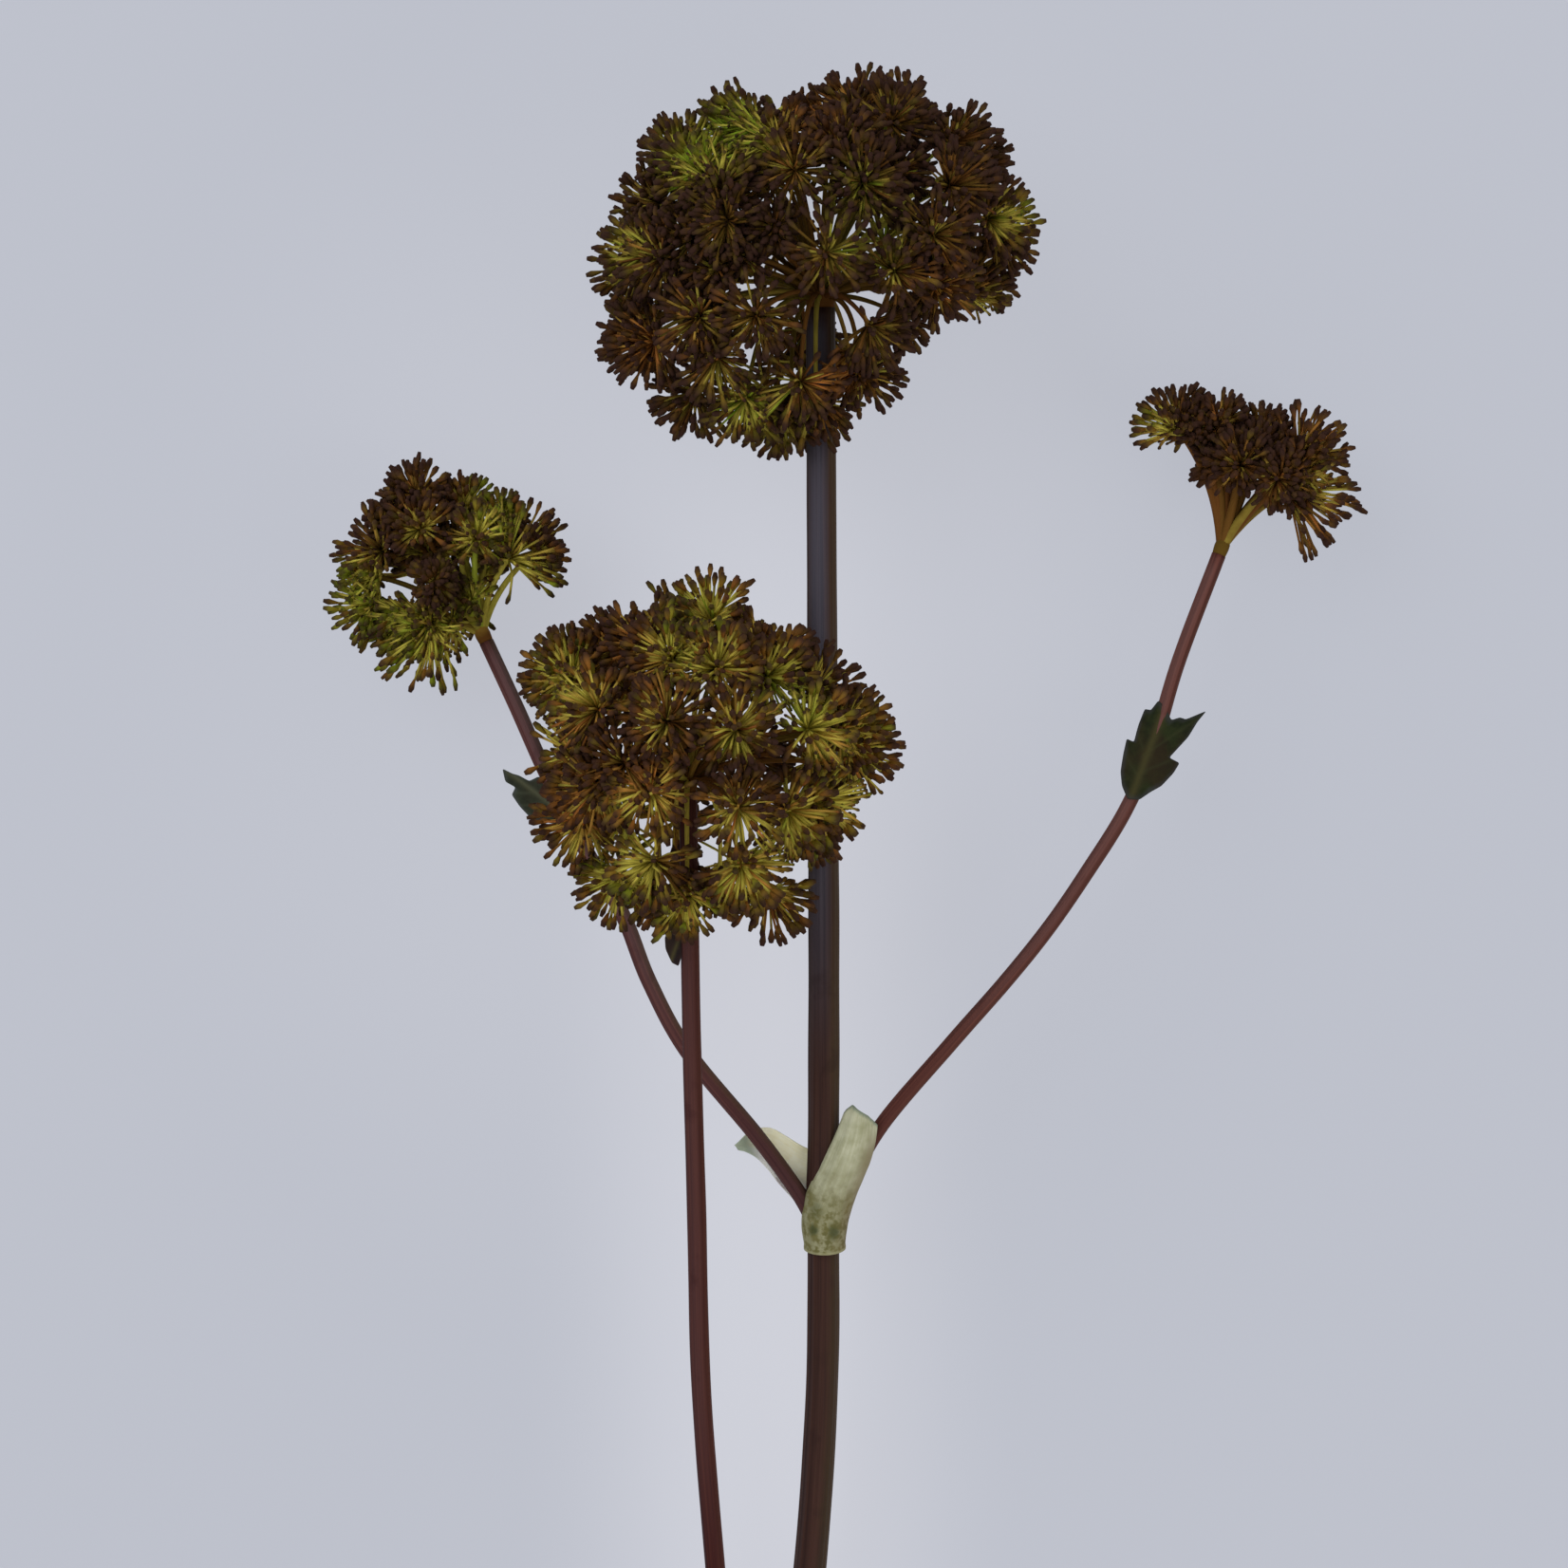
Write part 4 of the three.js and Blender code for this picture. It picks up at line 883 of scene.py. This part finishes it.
def sheathPiece(form):
    # Arcs round a middle line: centre + radius (sin a . side + cos a . front), with a lip and folds.
    u = np.linspace(0, 1, form["rows"])[:, None]
    v = np.linspace(0, 1, form["columns"])
    centres, radii, spans = zip(*form["rings"])
    line = smoothLine(centres, form["rows"])
    along = unit(np.gradient(line, axis=0))
    side = unit(np.cross(along, (0, 0, 1)))
    front = np.cross(side, along)
    place = np.linspace(0, len(radii) - 1, form["rows"])
    measures = [np.interp(place, range(len(radii)), each) for each in (radii, *zip(*spans))]
    radius, low, high = (measure[:, None] for measure in measures)
    angle = np.radians(low + (high - low) * v)
    lip = form["lip"] * np.exp(-(u / form["lipLength"]) ** 2)
    folds = form["fold"] * ease(0.1, 0.5, u) * (np.sin(angle * 5 + 2.2 * u) + 0.4 * np.sin(angle * 13))
    radius = radius + lip + folds + form["bulge"] * np.sin(u * 9) * ease(0.3, 0.8, u)
    wheel = np.sin(angle)[..., None] * side[:, None] + np.cos(angle)[..., None] * front[:, None]
    middle = line[:, None] + radius[..., None] * wheel
    rise = ease(0.6, 1.0, u) * np.interp(v, *form["crown"])
    sag = form["sag"] * np.cos(angle) * (1 - ease(0.0, 0.16, u))
    middle += rise[..., None] * along[:, None]
    middle -= sag[..., None] * along[:, None]
    thickness = form["thickness"] * (0.55 + 0.45 * (1 - ease(0.85, 1.0, np.abs(2 * v - 1))))
    points, faces = blade(middle, thickness)
    finish = makeFinish("sheath_skin", sheathFinish, form["look"], gloss=0.12)
    makePiece("sheath_paper", "sheath", points, [faces], bladeValues(u, 2 * v - 1), finish)


openSheath = dict(
    lower=[
        (-1.5, 338.5, 33), (-8, 343, 33.4), (-12, 347.2, 33.6), (-16.4, 352.6, 33.8), (-20.5, 356.6, 34.2),
        (-25, 358.6, 35.4),
    ],
    upper=[
        (-1.5, 357.5, 35.6), (-6.5, 359.8, 35), (-11, 362.6, 34.6), (-16, 365, 34.6), (-21.5, 363.8, 35.2),
        (-26, 359.8, 36.4),
    ],
    arch=1.6, rows=60, columns=40, thickness=0.6, ripple=0.35, lift=1.1,
    look=dict(
        pale=(246, 238, 194), cream=(254, 252, 226), vein=(222, 216, 172), veinShare=0.35,
        foot=(190, 178, 120), footBand=(0, 0.3), footShare=0.4,
        flank=(226, 226, 232), flankBand=(0.1, -0.4),
        hem=(150, 166, 146), hemBand=(0.7, 0.9),
        lip=(150, 130, 110), lipBand=(0, 0.1), lipShare=0.5,
        spot=(150, 126, 124), blotchUntil=(0, 0.1), blotchShare=0,
        spots=[(-12.5, 346.6, 0.002, 0.6)],
    ),
)


def openSheathPiece(form):
    # Straight lines from the lower edge to the upper, arched by 1 - v^2 and rippled near the edges.
    u = np.linspace(0, 1, form["rows"])[:, None]
    v = np.linspace(-1, 1, form["columns"])
    lower, upper = (smoothLine(form[edge], form["rows"])[:, None] for edge in ("lower", "upper"))
    middle = lower + (upper - lower) * ((v[:, None] + 1) / 2)
    middle[..., 2] -= form["arch"] * (1 - v ** 2) * (1 - u)
    middle[..., 2] += form["ripple"] * np.sin(17 * u + 1.2 * v) * np.abs(v) ** 2 * ease(0.1, 0.6, u)
    middle[..., 2] += form["lift"] * ease(0.82, 1.0, u) * (0.4 + 0.6 * v)
    points, faces = blade(middle, form["thickness"])
    finish = makeFinish("sheath_open_skin", sheathFinish, form["look"], gloss=0.12)
    makePiece("sheath_open_paper", "sheath_open", points, [faces], bladeValues(u, v), finish)


sheathPiece(sheath)
openSheathPiece(openSheath)
print("sheaths done")


# Leaves. The outline, the heart and each vein's place and angle are measured from the base.

leafRight = dict(
    name="leaf_right", base=(92.4, 463.2, 35.6), cup=0.012, lean=-0.1, ribAngle=69, heart=(6, 13),
    outline=[
        (-0.9, 0.4), (2.6, 0), (6.1, 2.4), (9.4, 4.2), (12.9, 8), (14.8, 11.1), (11.8, 12.7), (14.6, 15.7),
        (17.4, 18.8), (20.2, 23.3), (23.1, 26.8), (16.9, 24.2), (15.1, 24.8), (12.5, 24), (10.8, 27.8),
        (8.7, 29.9), (6.4, 27), (4.5, 27.3), (2.6, 22.6), (1.2, 17.4), (-1, 18.4), (-2, 14.1), (-2.9, 8.5),
        (-2.5, 4.2),
    ],
    veins=[(2.5, 8, 22), (3.5, 13, 34), (2.5, 7, 122), (4, 15, 108)], ribWidth=1.25,
    look=dict(
        dark=(22, 28, 12), light=(39, 45, 20), vein=(50, 52, 30), rib=(64, 60, 32),
        edge=(54, 54, 56), rust=(46, 32, 20),
    ),
)

leafLeft = dict(
    name="leaf_left", base=(-76, 457.8, 38.4), cup=0.02, lean=0.05, ribAngle=142, heart=(-9, 6),
    outline=[
        (1.5, -1), (1, 3), (-4.3, 9.6), (-8.5, 12.5), (-11.4, 11.1), (-14.5, 12.8), (-16.4, 13.3),
        (-19.4, 14.8), (-18.5, 10.9), (-15.5, 9.2), (-16.6, 7), (-14.2, 3.5), (-11.4, 0.5), (-8.6, -1),
        (-3.7, -1.7),
    ],
    veins=[(-5, 4.5, 100), (-9, 7.5, 180), (-6, 5, 190)], ribWidth=0.9,
    look=dict(
        dark=(42, 46, 36), light=(60, 65, 50), vein=(78, 82, 64), rib=(88, 88, 66),
        edge=(74, 78, 76), rust=(52, 48, 36),
    ),
)

bractFront = dict(
    name="bract_front", base=(-41.2, 424.5, 80.2), cup=0.02, lean=0, ribAngle=250, heart=(-1.6, -3),
    outline=[
        (0.8, 1), (-1.8, 1.6), (-4.6, -0.6), (-4.4, -4.2), (-2.6, -8.2), (-0.6, -9.2), (0.4, -6), (1.2, -2.4),
    ],
    veins=[], ribWidth=0.6,
    look=dict(
        dark=(30, 22, 24), light=(50, 38, 32), vein=(70, 60, 40), rib=(78, 70, 42),
        edge=(56, 46, 44), rust=(50, 30, 26),
    ),
)

leafRelief = dict(crumple=0.3, rib=0.35, vein=0.12, veinWidth=0.45)  # depths, and the veins' width
leafMesh = dict(steps=6, rings=22, thickness=0.55)  # points to a side of the outline, rings to the heart


def alongAndAcross(points, angle):  # how far points lie along an angle in degrees, and to the right of it
    aim = np.array([math.cos(math.radians(angle)), math.sin(math.radians(angle))])
    return points @ aim, points[:, 0] * aim[1] - points[:, 1] * aim[0]


def leafPiece(form):
    # Rings shrunk from the outline to its heart, at the height cup . across^2 + lean . along, with veins.
    name, steps, rings, relief = form["name"], leafMesh["steps"], leafMesh["rings"], leafRelief
    outline = np.array(form["outline"], float)
    onward = np.roll(outline, -1, axis=0)
    share = (np.arange(steps) / steps)[:, None]
    edge = (outline[:, None] + (onward - outline)[:, None] * share).reshape(-1, 2)
    edge = 0.25 * np.roll(edge, 1, axis=0) + 0.5 * edge + 0.25 * np.roll(edge, -1, axis=0)
    around = len(edge)
    heart = np.array(form["heart"], float)
    r = np.linspace(1, 0, rings + 1)[:-1] ** 0.9
    places = np.concatenate([(heart + (edge - heart) * r[:, None, None]).reshape(-1, 2), heart[None]])
    along, across = alongAndAcross(places, form["ribAngle"])
    ribLine = np.exp(-(across / form["ribWidth"]) ** 2)
    veinLine = np.zeros(len(places))
    for x, y, angle in form["veins"]:
        ahead, beside = alongAndAcross(places - (x, y), angle)
        veinLine = np.maximum(veinLine, np.exp(-(beside / relief["veinWidth"]) ** 2) * ease(-1, 1, ahead))
    crumple = relief["crumple"] * np.sin(0.55 * along + 0.3) * np.abs(across) / 8
    height = form["cup"] * across ** 2 + form["lean"] * along
    height += crumple - relief["rib"] * ribLine - relief["vein"] * veinLine
    middle = np.concatenate([places, height[:, None]], axis=1) + form["base"]
    distance = np.concatenate([np.repeat(r, around), [0]])
    half = leafMesh["thickness"] / 2 * (1 - 0.6 * ease(0.8, 1.0, distance))
    lift = half[:, None] * (0, 0, 1)
    points = np.concatenate([middle + lift, middle - lift])

    here, after, quads = ringQuads(rings, around)
    last = (rings - 1) * around
    total = rings * around + 1
    fan = np.stack([last + here, last + after, np.full(around, total - 1)], axis=1)
    wall = np.stack([here, here + total, after + total, after], axis=1)
    faces = [quads, fan, quads[:, ::-1] + total, fan[:, ::-1] + total, wall]
    if np.sum(outline[:, 0] * onward[:, 1] - outline[:, 1] * onward[:, 0]) < 0:  # the outline runs clockwise
        faces = [face[:, ::-1] for face in faces]
    values = {"rib": np.tile(ribLine, 2), "vein": np.tile(veinLine, 2), "edge": np.tile(distance, 2)}
    finish = makeFinish(name + "_skin", leafFinish, form["look"], gloss=0.08)
    makePiece(name + "_veined", name, points, faces, values, finish)


for leafForm in (leafRight, leafLeft, bractFront):
    leafPiece(leafForm)
print("leaves done")


# Floor, light and camera

def makeFloor(form):
    # A flat square whose soft glow keeps it pale, with painted pools of light in long ovals beside the stem
    # and under the heads that lift the plant's shadows there.
    half = form["floorSize"] / 2
    corners = [(-half, -half, 0), (half, -half, 0), (half, half, 0), (-half, half, 0)]
    mesh = bpy.data.meshes.new("floor")
    mesh.from_pydata(corners, [], [(0, 1, 2, 3)])
    floor = addObject("floor", mesh)
    material, wires, shader = newMaterial("floor_pale", gloss=0.1)
    shader.inputs["Roughness"].default_value = 0.9
    place = objectPlace(wires)
    # Painted light: a soft uneven brightness, and a pool of light in each oval.
    paintedFloorLight = (place.noise(2.2, 2.0) - 0.5) * 0.3
    for x, y, turn, width, share in form["floorLightPools"]:
        heart = ((x + cutEnd[0]) / 1000, (y + cutEnd[1]) / 1000, 0)
        oval = place.make("VectorMath", {0: place, 1: heart}, operation="SUBTRACT").stretch(1, turn, 1)
        length = oval.make("VectorMath", {0: oval}, 1, operation="LENGTH")
        paintedFloorLight = paintedFloorLight + (1 - length.between(0, width)) * share
    colour = paintedFloorLight.blend(form["floorEven"], form["floorPoolColour"])
    dimness = form["floorDiffuse"] / form["floorMean"]
    dim = colour.make("VectorMath", {0: colour, "Scale": dimness}, operation="SCALE")
    dim.feed(shader, "Base Color")
    colour.feed(shader, "Emission Color")
    shader.inputs["Emission Strength"].default_value = form["floorGlow"] / form["floorMean"]
    mesh.materials.append(material)


def makeLight(form):
    # An even pale sky and two large soft lamps.
    world = bpy.data.worlds.new("soft_sky")
    bpy.context.scene.world = world
    world.use_nodes = True
    sky = world.node_tree.nodes["Background"]
    sky.inputs["Color"].default_value = form["sky"]
    sky.inputs["Strength"].default_value = form["skyStrength"]
    for i, (place, size, power, tint) in enumerate(form["lamps"]):
        lamp = bpy.data.lights.new("lamp%d" % i, "AREA")
        lamp.shape, lamp.size, lamp.energy, lamp.color = "DISK", size, power, tint
        holder = addObject("lamp%d" % i, lamp)
        x, y, z = place
        aim = math.atan2(math.hypot(x, y), z)
        holder.location = place
        holder.rotation_euler = (0, aim, math.atan2(y, x))


def makeCamera(form):
    # Straight down, as the photograph looks at the plant.
    data = bpy.data.cameras.new("camera")
    data.lens, data.sensor_width = form["lens"], form["sensor"]
    camera = addObject("camera", data)
    camera.location = (np.array(form["camera"]) + cutEnd) / 1000
    bpy.context.scene.camera = camera


makeFloor(studio)
makeLight(studio)
makeCamera(studio)
bpy.context.scene.view_settings.view_transform = "Standard"
print("studio done")
